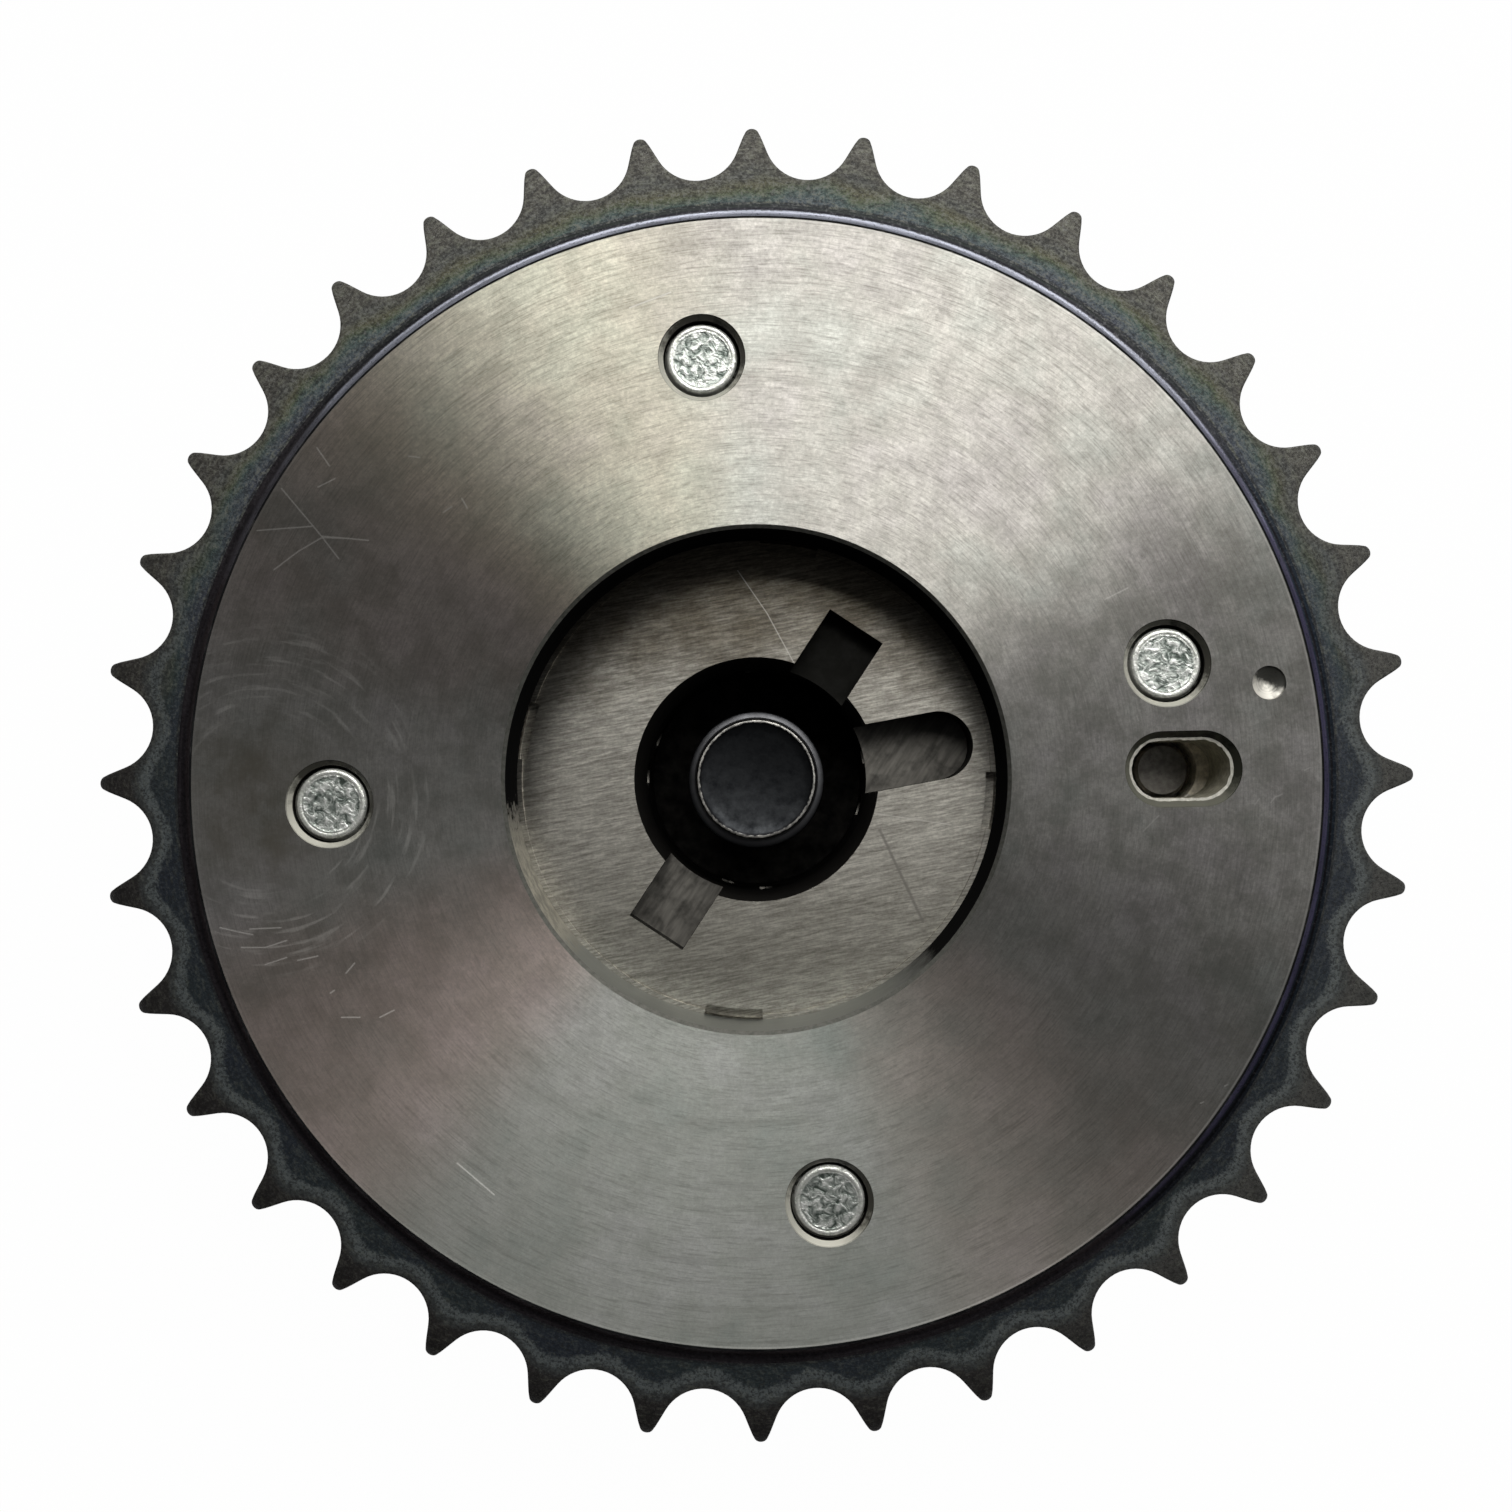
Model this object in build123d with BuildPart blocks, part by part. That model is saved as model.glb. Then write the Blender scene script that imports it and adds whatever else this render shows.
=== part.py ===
from build123d import *
from math import cos, pi, radians, sin, sqrt
import os

os.makedirs("parts", exist_ok=True)

# Vane type cam phaser, seen from its camshaft side, which is up (+Z).
# It lies on its front: the four housing bolt heads stand on z = 0.
# Millimetres. The phaser's own axis is the Z axis.

# The sprocket, sized from its chain
chain_pitch = 8.0
roller_d = 5.0
tooth_count = 36
tooth_phase = 0.4           # angle of the first tooth tip from +X
gullet_r = 3.16             # radius of the round space between two teeth
flank_angle = 27.0          # flank leans this much from the middle of the space
tip_rise = 3.76             # tooth tip above the root circle
tip_chamfer = 0.4           # bevel round the tips on both faces
disc_inset = 3.2            # raised disc edge inside the root circle
ring_step = 1.3             # toothed ring lies this far below the raised disc
foot_fillet = 1.0           # concave fillet round the foot of the disc
plate_t = 5.4               # sprocket thickness at the raised disc
hole_r = 17.8               # hole for the camshaft nose
edge_break = 0.25

# The stack, from the bolt heads up
head_h = 4.0
cover_t = 4.0
cover_chamfer = 0.5
body_t = 16.0
side_clear = 0.03           # rotor to cover and rotor to sprocket, each side
run_clear = 0.06            # rotor to housing, radially

# The housing and its lobes
body_inset = 0.6            # housing and cover inside the sprocket's disc edge
wall_t = 3.6
bolt_inset = 5.8            # bolt circle inside the chamber wall
bolt_angles = [15.7, 97.4, 183.4, 279.8]
lobe_half = 7.4             # lobe flank before its bolt, degrees
travel = 25.0               # rotor travel, degrees

# The rotor
hub_wall = 3.2              # hub beyond the camshaft hole
pin_angle = 1.3
pin_vane_after = 6.8        # pin vane past its pin, degrees
pin_vane_before = 13.0      # pin vane before its pin, degrees
stop_gap = 0.2              # left between the pin vane and its stops, degrees
vane_half = 6.4
vane_lag = 15.3             # other vanes stand this far before their bolt
vane_gap = 1.5              # they stay this far off the lobes, degrees
seat_inset = 0.35           # camshaft seat edge inside the sprocket hole
seat_depth = 0.3
mouth_r = 9.12              # bore at the seat
bore_r = 8.4
mouth_depth = 2.2
bore_depth = 10.0
port_r = 1.1
port_aside = 4.0             # oil ports leave the hub this far beside a vane, degrees
port_heights = [2.4, 5.6]   # above the web, before and after the vane
pocket_w = 4.7
pocket_reach = 13.65
pocket_depth = 1.8
pocket_angles = [56.8, 236.8]
dowel_w = 5.1
dowel_reach = 13.85
dowel_depth = 3.0
dowel_angle = 10.5
notch_half = 7.0            # arc notches at the edge of the seat, degrees
notch_w = 0.7
notch_depth = 0.8

# Seals and their leaf springs
seal_w = 1.6
seal_h = 2.2
seal_clear = 0.05
seal_film = 0.02            # oil film between a seal and the wall it runs on
leaf_t = 0.2
leaf_room = 0.6             # height of the space under a seal
leaf_side = 0.1             # leaf narrower than its seal, each side

# Lock pin
pin_r = 2.52
pin_clear = 0.03
nose_r = 2.0
nose_len = 2.3
nose_chamfer = 0.2
nose_sink = 0.1             # nose end below the rotor's rear face
pin_len = 6.5
pin_hollow_r = 1.75
pin_hollow = 5.0
pin_floor = 2.0
vent_r = 1.1
spring_r = 1.3
spring_wire_r = 0.25
spring_turns = 6

# Slot and punch mark in the raised disc
slot_len = 7.0
slot_w = 4.1
slot_chamfer = 0.65
slot_angle = 1.3
dimple_r = 1.2
dimple_depth = 0.7
dimple_circle_r = 36.9
dimple_angle = 10.6

# Housing bolts M6, and the centre bolt M10
m6_r = 2.7
m6_tap_r = 2.75
m6_sink_r = 3.12
m6_shank_r = 2.6
m6_hole_r = 3.0
m6_tip_r = 2.35
m6_head_r = 5.0
m6_head_chamfer = 0.4
m6_socket = 5.0
m6_socket_depth = 2.4
m6_run_in = 1.0             # thread starts this far below the sprocket
m6_below = 0.3              # bolt end below the sprocket face
m10_r = 5.0
m10_tip_r = 4.3
m10_dish_r = 4.0
m10_dish_depth = 0.6
m10_hole_r = 5.5
m10_below = 2.8             # bolt end below the sprocket face
m10_flange_r = 10.0
m10_flange_t = 2.0
m10_hex = 15.0
m10_head_h = 7.4
cover_hole_r = 12.0

# Worked out from the sizes above
pitch_r = chain_pitch / 2 / sin(pi / tooth_count)
root_r = pitch_r - roller_d / 2
outer_r = root_r + tip_rise
disc_r = root_r - disc_inset
body_r = disc_r - body_inset
chamber_r = body_r - wall_t
bolt_circle_r = chamber_r - bolt_inset
hub_r = hole_r + hub_wall
lobe_r = hub_r + run_clear
vane_r = chamber_r - run_clear
cover_top = head_h + cover_t
plate_low = cover_top + body_t
rear_z = plate_low + plate_t
ring_z = rear_z - ring_step
rotor_low = cover_top + side_clear
rotor_top = plate_low - side_clear
rotor_h = rotor_top - rotor_low
seat_r = hole_r - seat_inset
seat_z = rotor_top - seat_depth
web_top = seat_z - bore_depth
tooth_angle = 360 / tooth_count

# Angles where vanes and lobes start and end, anticlockwise from +X
other_bolts = bolt_angles[1:]
vane_spans = [(pin_angle - pin_vane_before, pin_angle + pin_vane_after)]
for bolt_angle in other_bolts:
    vane_spans.append((bolt_angle - vane_lag - vane_half, bolt_angle - vane_lag + vane_half))
lobe_starts = [pin_angle + pin_vane_after + stop_gap]
for bolt_angle in other_bolts:
    lobe_starts.append(bolt_angle - lobe_half)
lobe_ends = [span[0] - travel - vane_gap for span in vane_spans[1:]]
lobe_ends.append(vane_spans[0][0] - travel - stop_gap + 360)
lobe_spans = list(zip(lobe_starts, lobe_ends))
vane_seal_angles = [pin_angle - pin_vane_before / 2]
for bolt_angle in other_bolts:
    vane_seal_angles.append(bolt_angle - vane_lag)
lobe_seal_angles = [(span[0] + span[1]) / 2 for span in lobe_spans]


def at(radius, angle):
    """Point in the XY plane at this radius and angle in degrees."""
    return (radius * cos(radians(angle)), radius * sin(radians(angle)))


def turned(x, y, angle):
    """Point x across and y out along the direction of this angle."""
    out = at(y, angle)
    across = at(x, angle - 90)
    return (out[0] + across[0], out[1] + across[1])


# Tooth outline: where the gullet arc, the straight flank and the tip round meet
half_tooth = tooth_angle / 2
lean = radians(flank_angle)
foot_x = gullet_r * cos(lean)
foot_y = root_r + gullet_r - gullet_r * sin(lean)
tan_half = sin(radians(half_tooth)) / cos(radians(half_tooth))
flank_len = (tan_half * foot_y - foot_x) / (sin(lean) - tan_half * cos(lean))
apex_r = (foot_y + flank_len * cos(lean)) / cos(radians(half_tooth))
tip_half = radians(flank_angle - half_tooth)
tip_round = (apex_r - outer_r) / (1 / sin(tip_half) - 1)
flank_end = flank_len - tip_round * cos(tip_half) / sin(tip_half)
end_x = foot_x + flank_end * sin(lean)
end_y = foot_y + flank_end * cos(lean)

# Sprocket: toothed rim and raised rear disc in one piece
with BuildPart() as sprocket:
    with BuildSketch(Plane.XY.offset(plate_low)):
        with BuildLine():
            for tooth in range(tooth_count):
                gap = tooth_phase + half_tooth + tooth * tooth_angle
                after = gap + tooth_angle
                ThreePointArc(turned(foot_x, foot_y, gap), at(root_r, gap), turned(-foot_x, foot_y, gap))
                Line(turned(-foot_x, foot_y, gap), turned(-end_x, end_y, gap))
                ThreePointArc(
                    turned(-end_x, end_y, gap),
                    at(outer_r, gap + half_tooth),
                    turned(end_x, end_y, after),
                )
                Line(turned(end_x, end_y, after), turned(foot_x, foot_y, after))
        make_face()
    extrude(amount=plate_t - ring_step)
    with BuildSketch(Plane.XZ):
        for face_z, inward in ((ring_z, -1), (plate_low, 1)):
            with BuildLine():
                Polyline(
                    (outer_r - 2 * tip_chamfer, face_z),
                    (outer_r + 2 * tip_chamfer, face_z),
                    (outer_r + 2 * tip_chamfer, face_z + inward * 2 * tip_chamfer),
                    close=True,
                )
            make_face()
    revolve(axis=Axis.Z, mode=Mode.SUBTRACT)
    with BuildSketch(Plane.XY.offset(plate_low)):
        Circle(disc_r)
    extrude(amount=plate_t)
    foot = sprocket.edges().filter_by(GeomType.CIRCLE)
    foot = foot.filter_by(lambda edge: abs(edge.radius - disc_r) < 0.01 and abs(edge.center().Z - ring_z) < 0.01)
    fillet(foot, radius=foot_fillet)
    with Locations((0, 0, rear_z)):
        Hole(radius=hole_r)
    rims = sprocket.faces().sort_by(Axis.Z)[-1].edges()
    chamfer(rims, length=edge_break)
    with Locations([Location((*at(bolt_circle_r, angle), rear_z)) for angle in bolt_angles]):
        CounterSinkHole(radius=m6_tap_r, counter_sink_radius=m6_sink_r, counter_sink_angle=90)
    with BuildSketch(Plane.XY.offset(rear_z)):
        with Locations(Location((*at(bolt_circle_r, slot_angle), 0), (0, 0, slot_angle))):
            SlotOverall(slot_len, slot_w)
    extrude(amount=-plate_t, mode=Mode.SUBTRACT)
    with BuildSketch(Plane.XY.offset(rear_z)):
        with Locations(Location((*at(bolt_circle_r, slot_angle), 0), (0, 0, slot_angle))):
            SlotOverall(slot_len + 2 * slot_chamfer, slot_w + 2 * slot_chamfer)
    extrude(amount=-slot_chamfer, taper=45, mode=Mode.SUBTRACT)
    with Locations((*at(dimple_circle_r, dimple_angle), rear_z)):
        Cone(
            bottom_radius=0,
            top_radius=dimple_r,
            height=dimple_depth,
            align=(Align.CENTER, Align.CENTER, Align.MAX),
            mode=Mode.SUBTRACT,
        )
sprocket.part.label = "sprocket"
export_step(sprocket.part, "parts/sprocket.step")

# Housing: outer ring with four inward lobes that carry the bolts and the hub seals
with BuildPart() as housing:
    with BuildSketch(Plane.XY.offset(cover_top)):
        Circle(body_r)
        Circle(chamber_r, mode=Mode.SUBTRACT)
        for start, end in lobe_spans:
            middle = (start + end) / 2
            with BuildLine():
                Line(at(lobe_r, start), at(chamber_r + 1, start))
                ThreePointArc(at(chamber_r + 1, start), at(chamber_r + 1, middle), at(chamber_r + 1, end))
                Line(at(chamber_r + 1, end), at(lobe_r, end))
                ThreePointArc(at(lobe_r, end), at(lobe_r, middle), at(lobe_r, start))
            make_face()
        for angle in lobe_seal_angles:
            with Locations(Location((*at(lobe_r - 1, angle), 0), (0, 0, angle))):
                Rectangle(
                    1 + seal_h + leaf_room,
                    seal_w + 2 * seal_clear,
                    align=(Align.MIN, Align.CENTER),
                    mode=Mode.SUBTRACT,
                )
        for angle in bolt_angles:
            with Locations(at(bolt_circle_r, angle)):
                Circle(m6_hole_r, mode=Mode.SUBTRACT)
    extrude(amount=body_t)
housing.part.label = "housing"
export_step(housing.part, "parts/housing.step")

# Front cover plate
with BuildPart() as front_cover:
    with BuildSketch(Plane.XY.offset(head_h)):
        Circle(body_r)
        Circle(cover_hole_r, mode=Mode.SUBTRACT)
        for angle in bolt_angles:
            with Locations(at(bolt_circle_r, angle)):
                Circle(m6_hole_r, mode=Mode.SUBTRACT)
    extrude(amount=cover_t)
    low_rims = front_cover.faces().sort_by(Axis.Z)[0].edges()
    chamfer(low_rims.filter_by(lambda edge: edge.radius > cover_hole_r - 1), length=cover_chamfer)
front_cover.part.label = "front_cover"
export_step(front_cover.part, "parts/front_cover.step")

# Rotor: hub with four vanes, camshaft seat, bore, pockets, oil ports and pin bore
with BuildPart() as rotor:
    with BuildSketch(Plane.XY.offset(rotor_low)):
        Circle(hub_r)
        for start, end in vane_spans:
            middle = (start + end) / 2
            with BuildLine():
                Line(at(hub_r - 1, start), at(vane_r, start))
                ThreePointArc(at(vane_r, start), at(vane_r, middle), at(vane_r, end))
                Line(at(vane_r, end), at(hub_r - 1, end))
                ThreePointArc(at(hub_r - 1, end), at(hub_r - 1, middle), at(hub_r - 1, start))
            make_face()
        for angle in vane_seal_angles:
            with Locations(Location((*at(vane_r + 1, angle), 0), (0, 0, angle))):
                Rectangle(
                    1 + seal_h + leaf_room,
                    seal_w + 2 * seal_clear,
                    align=(Align.MAX, Align.CENTER),
                    mode=Mode.SUBTRACT,
                )
    extrude(amount=rotor_h)
    with BuildSketch(Plane.XY.offset(rotor_top)):
        Circle(seat_r)
    extrude(amount=-seat_depth, mode=Mode.SUBTRACT)
    with BuildSketch(Plane.XZ):
        with BuildLine():
            Polyline(
                (0, rotor_top + 1),
                (mouth_r, rotor_top + 1),
                (mouth_r, seat_z),
                (bore_r, seat_z - mouth_depth),
                (bore_r, web_top),
                (m10_hole_r, web_top),
                (m10_hole_r, rotor_low - 1),
                (0, rotor_low - 1),
                close=True,
            )
        make_face()
    revolve(axis=Axis.Z, mode=Mode.SUBTRACT)
    with BuildSketch(Plane.XY.offset(seat_z)):
        for angle in pocket_angles:
            with Locations(Location((0, 0, 0), (0, 0, angle))):
                Rectangle(pocket_reach, pocket_w, align=(Align.MIN, Align.CENTER))
    extrude(amount=-pocket_depth, mode=Mode.SUBTRACT)
    with BuildSketch(Plane.XY.offset(seat_z)):
        with Locations(Location((0, 0, 0), (0, 0, dowel_angle))):
            Rectangle(dowel_reach, dowel_w, align=(Align.MIN, Align.CENTER))
        with Locations(at(dowel_reach, dowel_angle)):
            Circle(dowel_w / 2)
    extrude(amount=-dowel_depth, mode=Mode.SUBTRACT)
    with BuildSketch(Plane.XY.offset(rotor_top)):
        for middle in vane_seal_angles:
            low = middle - notch_half
            high = middle + notch_half
            inner_r = seat_r - notch_w / 2
            notch_r = seat_r + notch_w / 2
            with BuildLine():
                Line(at(inner_r, low), at(notch_r, low))
                ThreePointArc(at(notch_r, low), at(notch_r, middle), at(notch_r, high))
                Line(at(notch_r, high), at(inner_r, high))
                ThreePointArc(at(inner_r, high), at(inner_r, middle), at(inner_r, low))
            make_face()
    extrude(amount=-seat_depth - notch_depth, mode=Mode.SUBTRACT)
    for start, end in vane_spans:
        for angle, height in zip((start - port_aside, end + port_aside), port_heights):
            with Locations(Plane(origin=(0, 0, web_top + height), z_dir=(*at(1, angle), 0))):
                Cylinder(
                    radius=port_r,
                    height=hub_r + 1,
                    align=(Align.CENTER, Align.CENTER, Align.MIN),
                    mode=Mode.SUBTRACT,
                )
    with Locations((*at(bolt_circle_r, pin_angle), rotor_top)):
        Hole(radius=pin_r + pin_clear, depth=rotor_h - pin_floor)
        Hole(radius=vent_r)
rotor.part.label = "rotor"
export_step(rotor.part, "parts/rotor.step")

# Seals: a bar in each vane tip and in each lobe, with a bowed leaf spring under it
leaf_len = rotor_h - 2
middle_z = (rotor_low + rotor_top) / 2
seal_sets = [
    ("vane", vane_seal_angles, vane_r, -1, chamber_r - seal_film),
    ("lobe", lobe_seal_angles, lobe_r, 1, hub_r + seal_film),
]
for kind, seal_angles, base_r, inward, face_r in seal_sets:
    seal_foot = base_r + inward * seal_h
    groove_foot = base_r + inward * (seal_h + leaf_room)
    for number, angle in enumerate(seal_angles, start=1):
        with BuildPart() as seal:
            with BuildSketch(Plane.XY.offset(rotor_low)):
                with BuildLine():
                    half = seal_w / 2
                    shoulder = sqrt(face_r * face_r - half * half)
                    Line(turned(-half, seal_foot, angle), turned(-half, shoulder, angle))
                    ThreePointArc(
                        turned(-half, shoulder, angle),
                        at(face_r, angle),
                        turned(half, shoulder, angle),
                    )
                    Line(turned(half, shoulder, angle), turned(half, seal_foot, angle))
                    Line(turned(half, seal_foot, angle), turned(-half, seal_foot, angle))
                make_face()
            extrude(amount=rotor_h)
        seal.part.label = f"{kind}_seal_{number}"
        export_step(seal.part, f"parts/{kind}_seal_{number}.step")

        leaf_plane = Plane(
            origin=(*at(groove_foot, angle), middle_z),
            x_dir=(0, 0, 1),
            z_dir=(*at(1, angle - 90 * inward), 0),
        )
        with BuildPart() as leaf:
            with BuildSketch(leaf_plane):
                with BuildLine():
                    bow = leaf_room - leaf_t
                    ThreePointArc((-leaf_len / 2, bow), (0, 0), (leaf_len / 2, bow))
                    Line((leaf_len / 2, bow), (leaf_len / 2, leaf_room))
                    ThreePointArc((leaf_len / 2, leaf_room), (0, leaf_t), (-leaf_len / 2, leaf_room))
                    Line((-leaf_len / 2, leaf_room), (-leaf_len / 2, bow))
                make_face()
            extrude(amount=seal_w / 2 - leaf_side, both=True)
        leaf.part.label = f"{kind}_seal_spring_{number}"
        export_step(leaf.part, f"parts/{kind}_seal_spring_{number}.step")

# Lock pin: hollow body with a slimmer chamfered nose that fits the sprocket's slot
nose_z = rotor_top - nose_sink
with BuildPart() as lock_pin:
    with BuildSketch(Plane.XY.offset(nose_z - nose_len - pin_len)):
        with Locations(at(bolt_circle_r, pin_angle)):
            Circle(pin_r)
    extrude(amount=pin_len)
    with BuildSketch(Plane.XY.offset(nose_z - nose_len)):
        with Locations(at(bolt_circle_r, pin_angle)):
            Circle(nose_r)
    extrude(amount=nose_len)
    chamfer(lock_pin.faces().sort_by(Axis.Z)[-1].edges(), length=nose_chamfer)
    with BuildSketch(Plane.XY.offset(nose_z - nose_len - pin_len)):
        with Locations(at(bolt_circle_r, pin_angle)):
            Circle(pin_hollow_r)
    extrude(amount=pin_hollow, mode=Mode.SUBTRACT)
lock_pin.part.label = "lock_pin"
export_step(lock_pin.part, "parts/lock_pin.step")

# Lock pin spring, from the floor of the pin bore up into the hollow pin
spring_low = rotor_low + pin_floor
spring_high = nose_z - nose_len - pin_len + pin_hollow
coil_h = spring_high - spring_low - 2 * spring_wire_r
with BuildPart() as lock_pin_spring:
    with BuildLine():
        coil = Helix(pitch=coil_h / spring_turns, height=coil_h, radius=spring_r)
    with BuildSketch(Plane(origin=coil @ 0, z_dir=coil % 0)):
        Circle(spring_wire_r)
    sweep(path=coil)
spring_place = Location((*at(bolt_circle_r, pin_angle), spring_low + spring_wire_r))
placed_spring = lock_pin_spring.part.moved(spring_place)
placed_spring.label = "lock_pin_spring"
export_step(placed_spring, "parts/lock_pin_spring.step")

# Housing bolts: socket heads at the front, ends just below the sprocket face
for number, angle in enumerate(bolt_angles, start=1):
    with BuildPart() as housing_bolt:
        with BuildSketch(Plane.XY):
            with Locations(at(bolt_circle_r, angle)):
                Circle(m6_head_r)
        extrude(amount=head_h)
        chamfer(housing_bolt.faces().sort_by(Axis.Z)[0].edges(), length=m6_head_chamfer)
        with BuildSketch(Plane.XY.offset(head_h)):
            with Locations(at(bolt_circle_r, angle)):
                Circle(m6_shank_r)
        extrude(amount=cover_t + body_t - m6_run_in)
        with BuildSketch(Plane.XY.offset(plate_low - m6_run_in)):
            with Locations(at(bolt_circle_r, angle)):
                Circle(m6_r)
        extrude(amount=plate_t + m6_run_in - m6_below)
        chamfer(housing_bolt.faces().sort_by(Axis.Z)[-1].edges(), length=m6_r - m6_tip_r)
        with BuildSketch(Plane.XY):
            with Locations(at(bolt_circle_r, angle)):
                RegularPolygon(radius=m6_socket / 2, side_count=6, major_radius=False)
        extrude(amount=m6_socket_depth, mode=Mode.SUBTRACT)
    housing_bolt.part.label = f"housing_bolt_{number}"
    export_step(housing_bolt.part, f"parts/housing_bolt_{number}.step")

# Centre bolt: flanged hex head at the front, dished end standing in the camshaft hole
with BuildPart() as centre_bolt:
    with BuildSketch(Plane.XZ):
        with BuildLine():
            end_z = rear_z - m10_below
            Polyline(
                (0, rotor_low - m10_flange_t),
                (m10_flange_r, rotor_low - m10_flange_t),
                (m10_flange_r, rotor_low),
                (m10_r, rotor_low),
                (m10_r, end_z - (m10_r - m10_tip_r)),
                (m10_tip_r, end_z),
                (m10_dish_r, end_z),
                (0, end_z - m10_dish_depth),
                close=True,
            )
        make_face()
    revolve(axis=Axis.Z)
    with BuildSketch(Plane.XY.offset(rotor_low - m10_head_h)):
        RegularPolygon(radius=m10_hex / 2, side_count=6, major_radius=False)
    extrude(amount=m10_head_h - m10_flange_t)
centre_bolt.part.label = "centre_bolt"
export_step(centre_bolt.part, "parts/centre_bolt.step")
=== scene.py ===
# Vane type cam phaser lying on its bolt heads, seen from its camshaft side
import bmesh
import bpy
import random
from cmath import rect
from math import cos, pi, radians, sin
from mathutils import Matrix, Vector


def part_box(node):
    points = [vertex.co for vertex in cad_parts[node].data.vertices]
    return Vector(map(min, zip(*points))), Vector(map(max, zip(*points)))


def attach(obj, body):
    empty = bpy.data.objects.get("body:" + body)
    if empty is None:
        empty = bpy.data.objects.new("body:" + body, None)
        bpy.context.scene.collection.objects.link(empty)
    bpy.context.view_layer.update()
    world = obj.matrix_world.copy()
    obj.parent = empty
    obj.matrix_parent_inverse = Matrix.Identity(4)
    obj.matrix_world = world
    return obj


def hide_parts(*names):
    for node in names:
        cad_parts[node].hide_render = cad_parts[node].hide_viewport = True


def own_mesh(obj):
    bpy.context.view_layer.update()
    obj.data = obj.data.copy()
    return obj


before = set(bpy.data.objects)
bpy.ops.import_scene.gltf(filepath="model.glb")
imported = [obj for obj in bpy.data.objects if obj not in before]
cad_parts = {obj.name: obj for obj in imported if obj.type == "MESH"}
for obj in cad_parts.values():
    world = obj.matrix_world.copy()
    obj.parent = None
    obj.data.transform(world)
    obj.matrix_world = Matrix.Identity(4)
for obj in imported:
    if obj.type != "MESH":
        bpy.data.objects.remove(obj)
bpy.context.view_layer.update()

# Sizes in millimetres, as in the part; mm turns them into metres
mm = 0.001
tooth_count = 36
chain_pitch = 8.0
roller_d = 5.0
tooth_phase = radians(0.4)
gullet_r = 3.16
flank_lean = radians(27.0)
tip_rise = 3.76
tip_chamfer = 0.4
disc_inset = 3.2
ring_step = 1.3
foot_fillet = 1.0
foot_band = 0.25
hole_r = 17.8
edge_break = 0.25
body_inset = 0.6
wall_t = 3.6
bolt_inset = 5.8
slot_len = 7.0
slot_w = 4.1
slot_chamfer = 0.65
slot_angle = radians(1.3)
dimple_r = 1.2
dimple_depth = 0.7
dimple_place = rect(36.9, radians(10.6))
m6_tap_r = 2.75
m6_sink_r = 3.12
m6_thread_r = 2.7
m6_thread_depth = 0.3
m6_pitch = 1.0
m6_socket = 5.0
m10_r = 5.0
m10_thread_depth = 0.7
m10_pitch = 1.5
m10_head = 15.0
dish_r = 3.99
dish_depth = 0.42
tooth_bevel = 0.09

# Worked out from those sizes and from the frame
half_tooth = pi / tooth_count
root_r = chain_pitch / 2 / sin(half_tooth) - roller_d / 2
outer_r = root_r + tip_rise
disc_r = root_r - disc_inset
bolt_circle_r = disc_r - body_inset - wall_t - bolt_inset
plate_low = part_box("sprocket")[0].z / mm
rear_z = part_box("sprocket")[1].z / mm
ring_z = rear_z - ring_step
rotor_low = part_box("rotor")[0].z / mm
rotor_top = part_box("rotor")[1].z / mm
bolt_end_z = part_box("centre_bolt")[1].z / mm
slot_place = rect(bolt_circle_r, slot_angle)
bolt_names = [name for name in sorted(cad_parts) if name.startswith("housing_bolt_")]
bolt_places = [(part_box(name)[0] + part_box(name)[1]) / 2 for name in bolt_names]


class Nodes:
    """A node tree, with one short call for each kind of node."""

    def __init__(self, tree):
        self.tree = tree

    def plug(self, socket, value):
        """Links a socket, or sets a plain value."""
        value = getattr(value, "socket", value)
        if isinstance(value, bpy.types.NodeSocket):
            self.tree.links.new(value, socket)
        else:
            socket.default_value = value

    def node(self, kind, *inputs, named=(), **settings):
        """A node with its settings, its first inputs in their order and others by name or number."""
        made = self.tree.nodes.new(kind)
        for name, value in settings.items():
            setattr(made, name, value)
        for name, value in (*enumerate(inputs), *named):
            self.plug(made.inputs[name], value)
        return made

    def field(self, kind, *inputs, output=0, **settings):
        """One output of such a node."""
        return Field(self, self.node(kind, *inputs, **settings).outputs[output])

    def maths(self, operation, *inputs, clamp=False):
        return self.field("ShaderNodeMath", *inputs, operation=operation, use_clamp=clamp)

    def join(self, x, y, z):
        return self.field("ShaderNodeCombineXYZ", x, y, z)

    def split(self, vector):
        return [Field(self, part) for part in self.node("ShaderNodeSeparateXYZ", vector).outputs]

    def ramp(self, value, stops):
        made = self.node("ShaderNodeValToRGB", value)
        elements = made.color_ramp.elements
        while len(elements) < len(stops):
            elements.new(0.5)
        for element, (position, color) in zip(elements, stops):
            element.position = position
            element.color = (*color, 1.0)
        return Field(self, made.outputs[0])


class Field:
    """One output of a node. A sum, product or span of it is a node too."""

    def __init__(self, nodes, socket):
        self.nodes = nodes
        self.socket = socket

    def __add__(self, other):
        return self.nodes.maths("ADD", self, other)

    def __sub__(self, other):
        return self.nodes.maths("SUBTRACT", self, other)

    def __mul__(self, other):
        return self.nodes.maths("MULTIPLY", self, other)

    def __abs__(self):
        return self.nodes.maths("ABSOLUTE", self)

    def span(self, low, high, bottom=0.0, top=1.0, kind="LINEAR"):
        """Carried from low..high to bottom..top, and held there."""
        return self.nodes.field("ShaderNodeMapRange", self, low, high, bottom, top, interpolation_type=kind)

    def ease(self, low, high, bottom=0.0, top=1.0):
        """As span, with a soft start and end."""
        return self.span(low, high, bottom, top, "SMOOTHSTEP")

    def fade(self, bottom, top):
        """Noise carried to these two values."""
        return self.span(0.3, 0.7, bottom, top)

    def sway(self, amount):
        return self.fade(-amount, amount)

    def band(self, middle, half, soft):
        """One inside middle - half to middle + half, with soft borders."""
        return abs(self - middle).ease(half, half + soft, 1.0, 0.0)


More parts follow.
